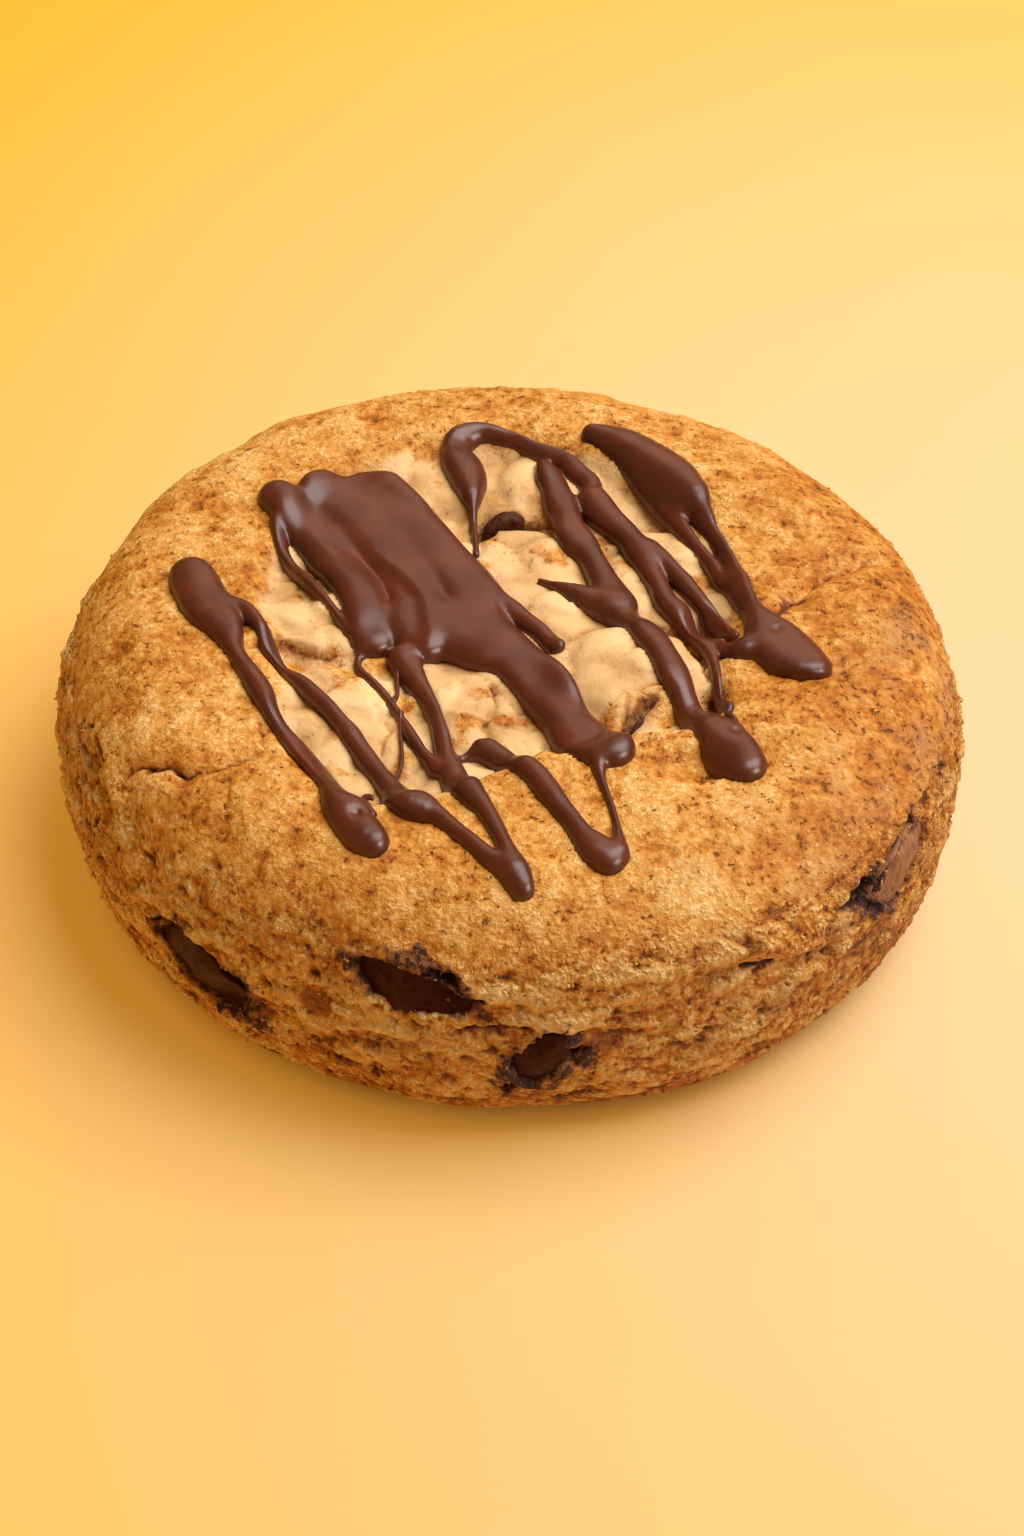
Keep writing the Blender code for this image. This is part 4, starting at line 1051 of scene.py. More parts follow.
def make_crust_material():
    """Dips painted brown, tops cream; over them toast, the pale middle, painted shade in marks, stains,
    glints.
    """
    material, shader, place = new_material("baked_crust")

    def attribute(name):
        """A value stored on the mesh's points, as a wire."""
        return place.node("Attribute", {"attribute_name": name}, {}, 2)

    level, toast, tan, pale, side, hollow, stain = (
        attribute(n) for n in ("level", "toast", "tan", "pale", "side", "hollow", "stain")
    )
    pushed = place.warp(1.0, 0.8)
    fine = place.noise(1.15, 4.0, 0.66)
    grain = place.noise(0.50, 2.0, 0.6)
    pale_fleck_and_highlight = grain.step(0.53, 0.64) * level.step(0.25, 0.75)
    crumb = pushed.nearest(0.95)
    firm = 1.0 - 0.8 * pale
    dome = crumb.step(0.62, 0.08)

    # level brings painted shade in the dips and painted light on the tops. The fleck is partly sugar and
    # flour specks and partly painted highlight on the high places.
    shade = level + (fine - 0.5) * 1.35 + (dome - 0.5) * (0.14 + 0.30 * side) + (pale_fleck_and_highlight - 0.18) * 0.42
    colour = shade.ramp(((-0.25, BROWN), (0.18, AMBER), (0.50, GOLD), (1.0, CREAM)))
    colour = ((toast + (fine - 0.5) * 0.5).step(0.2, 1.0) * 0.8).blend(colour, TOAST)
    colour = ((tan + (fine - 0.5) * 0.8).step(0.3, 0.9) * 0.6).blend(colour, TAN)
    # The soft middle's dips are painted darker, as shade, and its tops lighter, as light.
    soft = (level + (fine - 0.5) * 0.35).ramp(((0.0, PALE_DIP), (0.45, PALE), (1.0, PALE_TOP)))
    colour = ((pale + (fine - 0.5) * 0.5).step(0.15, 0.85) * 0.93).blend(colour, soft)

    border = pushed.node("TexVoronoi", {"feature": "DISTANCE_TO_EDGE"}, {"Vector": pushed, "Scale": 0.62})
    dip = (fine + 0.10 * (level - 0.5) - 0.02 * side - 0.04 * tan).step(0.395, 0.35)
    dash = border.step(0.11, 0.03) * dip
    pore = pushed.spots(1.0, 0.34, 0.24)
    # Pores and crackle lines, which the bump sinks, are painted dark as shade.
    opening = dash.most(pore.step(0.0, 0.5) * 0.9) * (1.0 - 0.9 * pale)
    colour = (opening * 0.72).blend(colour, PIT_SHADE)
    # Painted shade in cracks, holes, gaps and chunk hollows, with the dark of the amber patches.
    colour = (hollow.step(0.1, 1.0) * 0.85).blend(colour, SHADE_BROWN)
    smear = stain + (fine - 0.5) * 1.6 + (dome - 0.5) * 0.2
    colour = (smear.step(0.25, 0.60) * 0.85).blend(colour, SMEARED)
    colour = (smear.step(0.55, 0.80) * 0.96).blend(colour, STAINED)
    # Sugar grains painted near-white as glints: pale sugar with a painted highlight, and less rough.
    glint = place.spots(0.95, 0.34, 0.17).step(0.03, 0.24) * firm
    colour = (glint * 0.85).blend(colour, SUGAR_GLINT)

    height = (fine - 0.5) * (0.46 + 0.50 * side) + dome * (0.05 + 0.26 * side)
    height = height + (grain - 0.5) * (0.20 + 0.22 * side)
    height = height * firm - opening * (0.20 + 0.16 * side) + glint * 0.07
    bump = height.node("Bump", {}, {"Strength": 1.0, "Distance": MM, "Height": height})
    plug(shader, Base_Color=colour, Normal=bump, Roughness=0.62 - glint * 0.35)
    shader.inputs["Specular IOR Level"].default_value = 0.30
    return material


crust_material = make_crust_material()
print("crust material:", len(crust_material.node_tree.nodes), "nodes")

# %% [markdown]
# ## Cracks and ledges
#
# The dough cracked as it rose, and its side tore in short level ledges. A crack is a line of points
# with a half-width and a depth. The ledges are too many to place one by one, so random numbers with
# a fixed seed draw them.

# %% Cracks and ledges of the crust
# Cracks on top: points in plan, half-width, depth
TOP_CRACKS = (
    (((-31.6, -11.2), (-30.1, -10.3), (-26.9, -7.5), (-25.1, -7.9), (-22.9, -8.7), (-20.9, -9),
     (-18.6, -8.6)), 0.05, 0.2),
    (((-45.5, -27), (-42.7, -28.1), (-41.5, -28.3), (-38.9, -29.3), (-35.4, -31.2), (-33.1, -30.9),
     (-31.5, -30.1), (-27.3, -28.1)), 0.13, 0.8),
    (((-27.3, -27.8), (-27.6, -24.6), (-28.6, -22)), 0.14, 0.6),
    (((45, 15), (41.2, 12.6), (38.4, 11.1), (36.1, 9), (34.1, 5.7), (32.5, 3.6)), 0.16, 0.55),
    (((34.4, 6), (32.5, 3.6), (31.3, 1.6), (29.8, -0.8)), 0.34, 0.8),
    (((-5.4, 14.4), (-5, 17.8), (-3.9, 20.4), (-2.3, 19.9), (1.3, 19.4), (2.9, 20.2)), 0.3, 0.9),
    (((-5.2, 15.6), (-4.6, 17.6), (-3, 19.2), (-1, 19.8), (0.2, 19.9)), 0.95, 2.4),
    (((12.8, -18.4), (14.6, -16.6), (16.8, -14)), 0.22, 1.3),
    (((13.4, -17.6), (13.8, -20.6)), 0.12, 0.6),
    (((13.9, -23.2), (16.9, -22.8), (20.5, -19.7)), 0.2, 0.6),
    (((23.3, -11.5), (23.6, -14), (23.2, -16.8)), 0.4, 0.8),
    (((22, 2.5), (23, 0.6), (23.7, -1.4)), 0.4, 0.8),
    (((3.6, -5.6), (7.8, -1.7), (11.3, -0.1), (18.5, 0.5), (21.8, -4.7), (23, -12)), 0.18, 0.8),
    (((-2.6, -12.2), (-1.9, -16), (-2.9, -20.6), (-1.2, -23.4)), 0.2, 0.7),
    (((-24.6, -16.4), (-21.4, -15.6), (-19.6, -12.4), (-16.8, -11.6)), 0.16, 0.6),
    (((-16, -17), (-13.6, -20.8), (-14.6, -25.4)), 0.16, 0.6),
)
# Cracks in the side: points as angle in degrees and height, half-width, depth
SIDE_CRACKS = (
    (((-163, 26.4), (-158.3, 28), (-152.3, 28.2), (-147.8, 26.6), (-142.9, 23.2), (-141, 20.6)),
     0.18, 0.75),
    (((-110, 10.2), (-106, 9.4), (-101, 10.6)), 0.25, 0.8),
    (((-117.6, 10.3), (-116.6, 11.2)), 0.5, 1.3),
    (((-70, 22.6), (-61, 23.2), (-55, 22), (-49, 20.2)), 0.22, 0.9),
    (((-64, 11.6), (-57, 13.6), (-50, 15.6)), 0.25, 0.8),
    (((-95, 18.4), (-89, 19.6), (-83, 19)), 0.3, 0.8),
    (((30, 21), (38, 22.5), (47, 20.5)), 0.25, 0.9),
    (((120, 23.5), (128, 24.6), (138, 22.8)), 0.25, 0.9),
    (((168, 14.5), (176, 16), (184, 14)), 0.25, 0.8),
)
# Amber patches in the side, smoother than the rest: angle in degrees, height, half-length, half-height
AMBER_PATCHES = (
    (-110.8, 18.2, 2.2, 1.8),
    (-77.6, 16.8, 2.2, 1.4),
    (-141, 9, 1.8, 1.2),
    (60, 14, 2.4, 1.5),
)
LEDGE_COUNT = 130
LEDGE_SEED = 5


def crack(points, half_width, depth, u, v, place):
    """A ragged groove: flat across the half-width, which noise varies, with sloping walls and shut ends."""
    signed, fraction = along_path(points, u, v)
    shifted = signed + 0.45 * noise(place, 2.2, 5) + 0.24 * noise(place, 0.9, 7)
    away = np.abs(shifted + 0.12 * noise(place, 0.5, 8))
    half = half_width * (1.0 + 1.1 * noise(place, 2.4, 6))
    ends = smooth_step(0.0, 0.10, fraction) * smooth_step(1.0, 0.90, fraction)
    return depth * ends * smooth_step(half + 0.50, half - 0.20, away)


def random_ledges():
    """Short level ledges round the side: points as angle and height, step, reach."""
    rng = np.random.default_rng(LEDGE_SEED)
    rows = []
    for _ in range(LEDGE_COUNT):
        angle, height = rng.uniform(-180.0, 180.0), rng.uniform(3.5, 25.0)
        half, slope = rng.uniform(2.0, 7.0), rng.normal(0.0, 0.14)
        bend = rng.normal(0.0, 0.6, 3)
        stops = zip((-1.0, 0.0, 1.0), bend)
        points = [(angle + k * half, height + k * half * slope + off) for k, off in stops]
        rows.append((points, rng.uniform(0.20, 0.60), rng.uniform(0.9, 2.4)))
    return rows


LEDGES = random_ledges()
print("cracks:", len(TOP_CRACKS) + len(SIDE_CRACKS), "ledges:", len(LEDGES))


# %% [markdown]
# ## The crust's fine surface
#
# The fine relief lies on the large forms. The rim has pits and small bumps. The side is a crumb of
# wide, low lumps with ledges and holes. The soft middle is smooth, with creases between faceted
# lumps. The same relief makes form and colour: what stands out is painted lighter, as painted light,
# and the bottoms of cracks, gaps and holes are painted dark, as painted shade.


# %% Fine relief of the crust
# Sizes of the crumb's lumps along x, y and z
RIM_LUMPS = (2.6, 2.6, 2.6)
BIG_SIDE_LUMPS = (4.2, 4.2, 1.9)
SMALL_SIDE_LUMPS = (1.9, 1.9, 1.1)
SOFT_LUMPS = (7.5, 7.5, 30.0)
# The side's crumb starts below the first height and is full below the second
SIDE_STARTS = 30.5
SIDE_FULL = 24.5
SIDE_STRENGTH = 0.80
# All that counts as the top, with its shoulder, is above this height
TOP_FROM = 25.0
LEVEL_MIDDLE = 0.55


def lumps(place, size, seed, wander):
    """Crumb lumps, one to a cell: a dome 1 - (d / 0.8)^2, a step of -0.5 to 0.5, and the gap beside it."""
    push = np.stack((noise(place, 2.5 * wander, seed + 7), noise(place, 2.5 * wander, seed + 8),
                     0.5 * noise(place, 2.5 * wander, seed + 9)), axis=-1)
    nearest, second, number = cells(place + wander * push, np.asarray(size), seed)
    margin = second - nearest
    dome = 1.0 - (nearest / 0.8) ** 2
    return dome, (number - 0.5) * smooth_step(0.0, 0.25, margin), np.exp(-((margin / 0.15) ** 2))


def wrinkles(place, size, seed, width):
    """Short winding grooves: 1 on the lines where noise passes zero, wherever a second noise is high."""
    winding = noise(place + 0.6 * noise(place, size, seed + 5)[:, None], size, seed)
    return np.exp(-((winding / width) ** 2)) * smooth_step(0.0, 0.25, noise(place, 1.5 * size, seed + 1))


def holes(place, size, seed, edge):
    """Ragged holes: 0 where layered noise is above edge, and 1 where it is well below."""
    return smooth_step(edge, edge - 0.30, rough(place, size, 2, seed))


def torn_folds(x, y, place):
    """The cliff that sharpens the gentle step of each fold on top, its torn wall, and its shaded foot.

    The cliff is a narrow step whose place noise shifts, less the wide step that the large forms have already.
    """
    ragged = 0.45 * noise(place, 2.0, 92) + 0.24 * noise(place, 0.8, 93)
    cliff, torn, foot = np.zeros(len(x)), np.zeros(len(x)), np.zeros(len(x))
    for points, step, reach in TOP_FOLDS:
        signed, fraction = along_path(points, x, y)
        ends = np.sin(np.pi * fraction) ** 0.6 * np.exp(-((np.maximum(signed, 0.0) / reach) ** 2))
        edge = signed + ragged
        cliff += ends * step * (smooth_step(0.15, 0.50, edge) - smooth_step(-0.2, 0.9, signed))
        torn = np.maximum(torn, ends * smooth_step(0.45, 0.30, edge) * smooth_step(-0.25, 0.10, edge))
        foot = np.maximum(foot, ends * smooth_step(0.3, -0.1, edge) * smooth_step(-2.6, -0.4, edge))
    return cliff, torn, foot


def rim_surface(place):
    """Relief of the rim, and its holes: swells, domes and steps, less grooves and holes."""
    dome, step, _ = lumps(place, RIM_LUMPS, 20, 1.2)
    groove = wrinkles(place, 3.4, 26, 0.10)
    hole = holes(place, 2.6, 30, -0.42)
    relief = 0.26 * rough(place, 5.0, 3, 24) + 0.10 * dome + 0.20 * step
    return relief - 0.20 * groove - 0.25 * hole - 0.05, hole


def side_surface(x, y, z, place):
    """Relief of the side: torn lumps of two sizes with gaps between them, holes, and level ledges.

    It comes with the steps of the small lumps, with how dark the gaps and holes are painted, as painted
    shade, and with the slanted places that the lumps were made from.
    """
    slanted = place + np.stack((np.zeros(len(z)), np.zeros(len(z)), 0.9 * noise(place, 7.0, 39)), axis=-1)
    big_dome, big_step, big_gap = lumps(slanted, BIG_SIDE_LUMPS, 40, 1.4)
    small_dome, small_step, small_gap = lumps(slanted, SMALL_SIDE_LUMPS, 44, 0.9)
    hole = holes(slanted, (3.0, 3.0, 1.5), 50, -0.44)
    relief = 0.22 * big_dome + 0.56 * big_step - 0.18 * big_gap + 0.20 * small_dome + 0.34 * small_step
    relief = relief - 0.14 * small_gap + 0.14 * rough(slanted, (3.4, 3.4, 1.6), 2, 54) - 0.55 * hole - 0.1
    for points, rise, reach in LEDGES:
        flat_points, arc, height = on_side_sheet(points, x, y, z)
        near = np.nonzero((np.abs(arc) < 10.0) & (np.abs(height - points[1][1]) < 6.0))[0]
        wander = 0.7 * noise(place[near], 2.4, 60)
        relief[near] += fold(flat_points, rise, reach, arc[near], height[near] + wander)
    return relief, small_step, hole * 0.40 + 0.15 * big_gap, slanted


def soft_surface(place):
    """Relief of the soft middle: wide lumps with gaps and creases between them."""
    dome, step, gap = lumps(place, SOFT_LUMPS, 65, 2.2)
    crease = wrinkles(place, 5.0, 67, 0.07)
    relief = 0.75 * (dome - 0.7) + 0.60 * step - 0.34 * gap - 0.26 * crease
    return relief + 0.13 * rough(place, 3.5, 3, 66)


def split_depth(x, y, z, place):
    """Depth of the deepest crack at each place. Noise breaks up the cracks in the side."""
    deepest = np.zeros(len(x))
    r = np.hypot(x, y)
    on_top = (z > BELLY_HEIGHT) & (r < TOP_EDGE + 1.0)
    for points, half_width, depth in TOP_CRACKS:
        deepest = np.maximum(deepest, crack(points, half_width, depth, x, y, place) * on_top)
    broken = smooth_step(-0.35, 0.15, noise(place, 3.0, 9)) * (r > 46.0)
    for points, half_width, depth in SIDE_CRACKS:
        flat_points, arc, height = on_side_sheet(points, x, y, z)
        groove = crack(flat_points, half_width, depth, arc, height, place)
        deepest = np.maximum(deepest, groove * broken)
    return deepest


def amber_cover(x, y, z, place):
    """1 in the amber patches of the side: ellipses on the flat sheet, with edges that noise moves."""
    amber = np.zeros(len(x))
    wander = 0.35 * noise(place, 1.6, 97)
    outside = np.hypot(x, y) > 40.0
    for angle, height, half_length, half_height in AMBER_PATCHES:
        _, arc, up = on_side_sheet(((angle, height),), x, y, z)
        away = np.hypot(arc / half_length, (up - height) / half_height) + wander
        amber = np.maximum(amber, smooth_step(1.15, 0.75, away) * outside * (np.abs(arc) < 8.0))
    return amber


def fine_relief(x, y, z):
    """Fine relief over the large forms, and the values that colour it."""
    place = np.stack((x, y, z), axis=-1)
    r = np.hypot(x, y)
    side = smooth_step(SIDE_STARTS, SIDE_FULL, z + 2.0 * noise(place, 6.0, 12))
    soft = in_basin(x, y) * (r < TOP_EDGE) * (z > BELLY_HEIGHT)
    rim = (1.0 - side) * (1.0 - soft)
    rim_relief, rim_hole = rim_surface(place)
    side_relief, small_step, side_gap_shade, slanted = side_surface(x, y, z, place)
    soft_relief = soft_surface(place)
    cliff, torn, foot = torn_folds(x, y, place)
    split = split_depth(x, y, z, place)
    amber = amber_cover(x, y, z, place)
    hollows, stain, lip = chunk_hollows(place)
    clear = 1.0 - smooth_step(0.0, 0.8, hollows)

    cliff = cliff * (r < 44.0) * (z > TOP_FROM)
    small = rim * rim_relief + SIDE_STRENGTH * side * side_relief + soft * soft_relief + cliff
    small = small * (1.0 - 0.7 * amber) - 0.25 * amber
    small = small * (0.25 + 0.75 * clear) - split - hollows + lip * clear

    # level: the crust's tone, plus painted shade in dips and cracks and painted light on the tops.
    level = LEVEL_MIDDLE - 0.21 * smooth_step(20.0, 48.0, x) + rim * 0.60 * rim_relief
    level = level + side * 0.85 * side_relief + soft * 0.45 * soft_relief
    level = level + rim * (0.13 * noise(place, 9.0, 80) + 0.14 * noise(place, 3.0, 81))
    # Darker towards the side's base: partly browner baking, partly painted shade of the lower side.
    level = level + side * (0.10 * noise(place, 7.0, 84) + 0.13 - 0.20 * smooth_step(12.0, 3.0, z))
    level = level + soft * 0.36 * noise(place, 5.0, 85) - 0.9 * smooth_step(0.25, 1.0, split)
    # Torn walls darker, partly crumb and partly painted shade; the foot of each fold is painted shade.
    level = level - 0.45 * torn - 0.12 * foot - 0.55 * amber
    toast = 0.01 + 0.13 * noise(place, 12.0, 86) + 0.06 * noise(place, 3.4, 87) + 0.06 * side
    # More toast towards the base: partly browner baking, partly painted shade of the lower side.
    toast = toast + 0.45 * smooth_step(10.0, 2.0, z) + 0.16 * rim * smooth_step(14.0, 46.0, x)
    toast = toast + 0.40 * side * smooth_step(0.45, 0.75, noise(slanted, (4.5, 4.5, 2.8), 95)) + 1.7 * amber
    front_right = smooth_step(16.0, 42.0, 0.7 * (x - y)) + 0.6 * smooth_step(26.0, 48.0, x)
    tan = side * (0.40 + 0.40 * noise(place, 6.0, 88) + 0.40 * small_step) * smooth_step(3.0, 12.0, z)
    # The foot of each torn fold is painted tan, as shade.
    tan = np.maximum(tan * (1.0 - amber), foot) + rim * front_right * (0.36 + 0.30 * noise(place, 5.0, 96))
    blotch = smooth_step(0.10, 0.75, noise(place, 4.5, 89) + 0.35 * noise(place, 1.8, 91))
    pale = soft * (0.90 + 0.22 * noise(place, 6.0, 90) - 0.80 * blotch)
    pale = np.maximum(pale, 0.6 * smooth_step(0.02, 0.10, split) * (1.0 - smooth_step(0.2, 0.6, split)))
    pale = pale * (1.0 - 0.55 * torn) * (1.0 - 0.35 * foot)
    # Painted shade in holes, gaps between lumps, cracks and chunk hollows; the amber patches add their own
    # dark.
    dark = rim * rim_hole * 0.15 + side * side_gap_shade
    dark = dark + smooth_step(0.35, 1.0, split) * (1.0 - 0.55 * soft) + 0.40 * amber
    hollow = np.clip(np.maximum(dark, smooth_step(0.7, 1.5, hollows)), 0.0, 1.0)
    values = {"level": level, "toast": toast, "tan": tan, "pale": pale, "side": side, "hollow": hollow,
              "stain": stain}
    return small * smooth_step(0.5, 8.0, z), values


# %% [markdown]
# ## The crust's mesh
#
# The top is a square grid bent into a disc, so its cells stay even to the edge, and rings of cells
# run down the side to one flat base. A crack needs finer cells than the rest, so the grid's points
# are first drawn towards each crack, ledge and chunk. Under the chocolate the crust is kept just
# below it, so that no dough pokes through.

# %% The crust's mesh
TOP_CELLS = 190
SIDE_RINGS = 80
UNDER_CHOCOLATE = 0.12
CRACK_REACH = 2.2
CRACK_DRAW = 1.8
LEDGE_REACH = 1.3
LEDGE_DRAW = 1.35
EDGE_REACH = 1.5
EDGE_DRAW = 1.6


def disc_map(a, b):
    """Square (-1..1) to disc: the larger of the two is the radius, and their ratio gives the angle."""
    wide = np.abs(a) >= np.abs(b)
    safe_a, safe_b = np.where(a == 0, 1.0, a), np.where(b == 0, 1.0, b)
    radius = np.where(wide, a, b)
    angle = np.where(wide, np.pi / 4 * b / safe_a, np.pi / 2 - np.pi / 4 * a / safe_b)
    centre = (a == 0) & (b == 0)
    return np.where(centre, 0.0, radius * np.cos(angle)), np.where(centre, 0.0, radius * np.sin(angle))


def drawn_to(points, u, v, reach, power, keep):
    """Places drawn to a path: a distance d below reach becomes reach (d / reach)^power. keep fades this."""
    points = np.asarray(points, float)
    best = np.full(u.shape, 1e9)
    foot_u, foot_v = u.copy(), v.copy()
    for (u0, v0), (u1, v1) in zip(points[:-1], points[1:]):
        du, dv = u1 - u0, v1 - v0
        t = np.clip(((u - u0) * du + (v - v0) * dv) / (du * du + dv * dv), 0.0, 1.0)
        at_u, at_v = u0 + t * du, v0 + t * dv
        distance = np.hypot(u - at_u, v - at_v)
        nearer = distance < best
        best = np.where(nearer, distance, best)
        foot_u, foot_v = np.where(nearer, at_u, foot_u), np.where(nearer, at_v, foot_v)
    scale = np.where(best < reach, (np.maximum(best, 1e-6) / reach) ** (power - 1.0), 1.0)
    scale = 1.0 + (scale - 1.0) * keep
    return foot_u + (u - foot_u) * scale, foot_v + (v - foot_v) * scale


def crowd_top(x, y):
    """Top points drawn to the cracks on top. Those near the top's edge stay, as the side is joined there."""
    for points, _, _ in TOP_CRACKS:
        keep = smooth_step(TOP_EDGE, TOP_EDGE - 2.5, np.hypot(x, y))
        x, y = drawn_to(points, x, y, CRACK_REACH, CRACK_DRAW, keep)
    return x, y


def side_features():
    """Paths on the side that need finer cells, as (path of angle and height, reach, power)."""
    rows = [(points, CRACK_REACH, CRACK_DRAW) for points, _, _ in SIDE_CRACKS]
    rows += [(points, LEDGE_REACH, LEDGE_DRAW) for points, _, _ in LEDGES]
    for name, (point, axes) in CHUNK_FRAMES.items():
        for corners in [chunk_outline(name, "face")] + chunk_outline(name, "gaps"):
            around = np.array(list(corners) + [corners[0]])
            place = point + around @ axes[1:]
            angle = np.degrees(np.arctan2(place[:, 1], place[:, 0]))
            angle = angle[0] + (angle - angle[0] + 180.0) % 360.0 - 180.0
            rows.append((np.stack((angle, place[:, 2]), axis=-1).tolist(), EDGE_REACH, EDGE_DRAW))
    return rows


def crowd_side(x, y, z):
    """Side points drawn to the side's features on the flat sheet, and then put back on the profile."""
    ring_r, ring_z = side_profile(400)
    highest = ring_z[0]
    for points, reach, power in side_features():
        flat_points, arc, height = on_side_sheet(points, x, y, z)
        far = max(abs(p[0]) for p in flat_points) + reach
        near = np.nonzero(np.abs(arc) < far)[0]
        keep = smooth_step(highest, highest - 2.0, height[near]) * smooth_step(0.3, 2.5, height[near])
        new_arc, new_height = drawn_to(flat_points, arc[near], height[near], reach, power, keep)
        turn = (new_arc - arc[near]) / RADIUS
        angle = np.arctan2(y[near], x[near]) + turn
        r = np.interp(new_height, ring_z[::-1], ring_r[::-1])
        x[near], y[near], z[near] = r * np.cos(angle), r * np.sin(angle), new_height
    return x, y, z


def ring_walls(rows):
    """Four-sided faces between rings of point numbers, one ring to a row."""
    onward = np.roll(rows, -1, axis=1)
    return list(np.stack((rows[:-1], rows[1:], onward[1:], onward[:-1]), axis=-1).reshape(-1, 4))


def crust_grid():
    """Points of the turned form, and faces: a bent square on top, rings down the side, one flat base."""
    n = TOP_CELLS
    line = np.linspace(-1.0, 1.0, n + 1)
    a, b = np.meshgrid(line, line)
    disc_x, disc_y = disc_map(a.ravel(), b.ravel())
    index = np.arange((n + 1) ** 2).reshape(n + 1, n + 1)
    quads = np.stack((index[:-1, :-1], index[:-1, 1:], index[1:, 1:], index[1:, :-1]), axis=-1).reshape(-1, 4)
    edge = np.concatenate((index[0, :-1], index[:-1, n], index[n, :0:-1], index[:0:-1, 0]))
    around = np.stack((disc_x[edge], disc_y[edge]), axis=-1)
    top = np.stack(crowd_top(disc_x * TOP_EDGE, disc_y * TOP_EDGE), axis=-1)
    ring_r, ring_z = side_profile(SIDE_RINGS)
    side_xy = (ring_r[1:, None, None] * around[None]).reshape(-1, 2)
    side_z = np.repeat(ring_z[1:], len(edge))
    side = np.stack(crowd_side(side_xy[:, 0].copy(), side_xy[:, 1].copy(), side_z.copy()), axis=-1)
    side[-len(edge):, 2] = 0.0
    top = np.column_stack((top, top_height(np.hypot(*top.T))))
    rings = np.vstack((edge, len(top) + np.arange(SIDE_RINGS * len(edge)).reshape(SIDE_RINGS, -1)))
    return np.vstack((top, side)), list(quads) + ring_walls(rings) + [rings[-1][::-1]]


def crust_surface(points):
    """The turned form's points moved out by both reliefs, and kept below the chocolate that covers them."""
    x, y, z = points.T
    r = np.maximum(np.hypot(x, y), 1e-6)
    out, up = profile_normal(r, z)
    small, values = fine_relief(x, y, z)
    rise = large_relief(x, y, z) + small
    moved = np.stack((x + rise * out * x / r, y + rise * out * y / r, z + rise * up), axis=-1)
    on_top = (z > TOP_FROM) & (r < 50.0)
    covered = on_top & (read_map(PLAN_EDGE, moved[:, 0], moved[:, 1]) < -0.15)
    limit = read_map(BED, moved[:, 0], moved[:, 1]) - UNDER_CHOCOLATE
    moved[:, 2] = np.where(covered, np.minimum(moved[:, 2], limit), moved[:, 2])
    return moved, values


turned_points, crust_faces = crust_grid()
crust_points, crust_values = crust_surface(turned_points)
crust = new_piece("crust", crust_points, crust_faces, crust_material, ("cookie",), crust_values)

# %% [markdown]
# ## Loose crumbs
#
# Torn dough is never one skin: small crumbs cling to it and throw tiny shadows. Each crumb is a
# twenty-sided ball, squashed and turned at random and half sunk in the crust. They are all in one
# mesh, use the crust's own material, and take its values at the point where they sit.

# %% Crumbs on the crust
CRUMB_COUNT = 4000
CRUMB_SEED = 21
CRUMB_SIZE = 0.19
CRUMB_SPREAD = 0.36
SMALLEST_CRUMB = 0.09
LARGEST_CRUMB = 0.45


def unit_ball():
    """Points and faces of a twenty-sided ball of radius 1."""
    shape = bmesh.new()
    bmesh.ops.create_icosphere(shape, subdivisions=1, radius=1.0)
    points = np.array([vertex.co[:] for vertex in shape.verts])
    faces = np.array([[vertex.index for vertex in face.verts] for face in shape.faces])
    shape.free()
    return points, faces


def random_turns(count, rng):
    """One random turn to a row, from four normal numbers taken as a quaternion."""
    q = rng.normal(size=(count, 4))
    w, x, y, z = (q / np.linalg.norm(q, axis=1, keepdims=True)).T
    rows = ((1 - 2 * (y * y + z * z), 2 * (x * y - z * w), 2 * (x * z + y * w)),
            (2 * (x * y + z * w), 1 - 2 * (x * x + z * z), 2 * (y * z - x * w)),
            (2 * (x * z - y * w), 2 * (y * z + x * w), 1 - 2 * (x * x + y * y)))
    return np.stack([np.stack(row, axis=-1) for row in rows], axis=1)


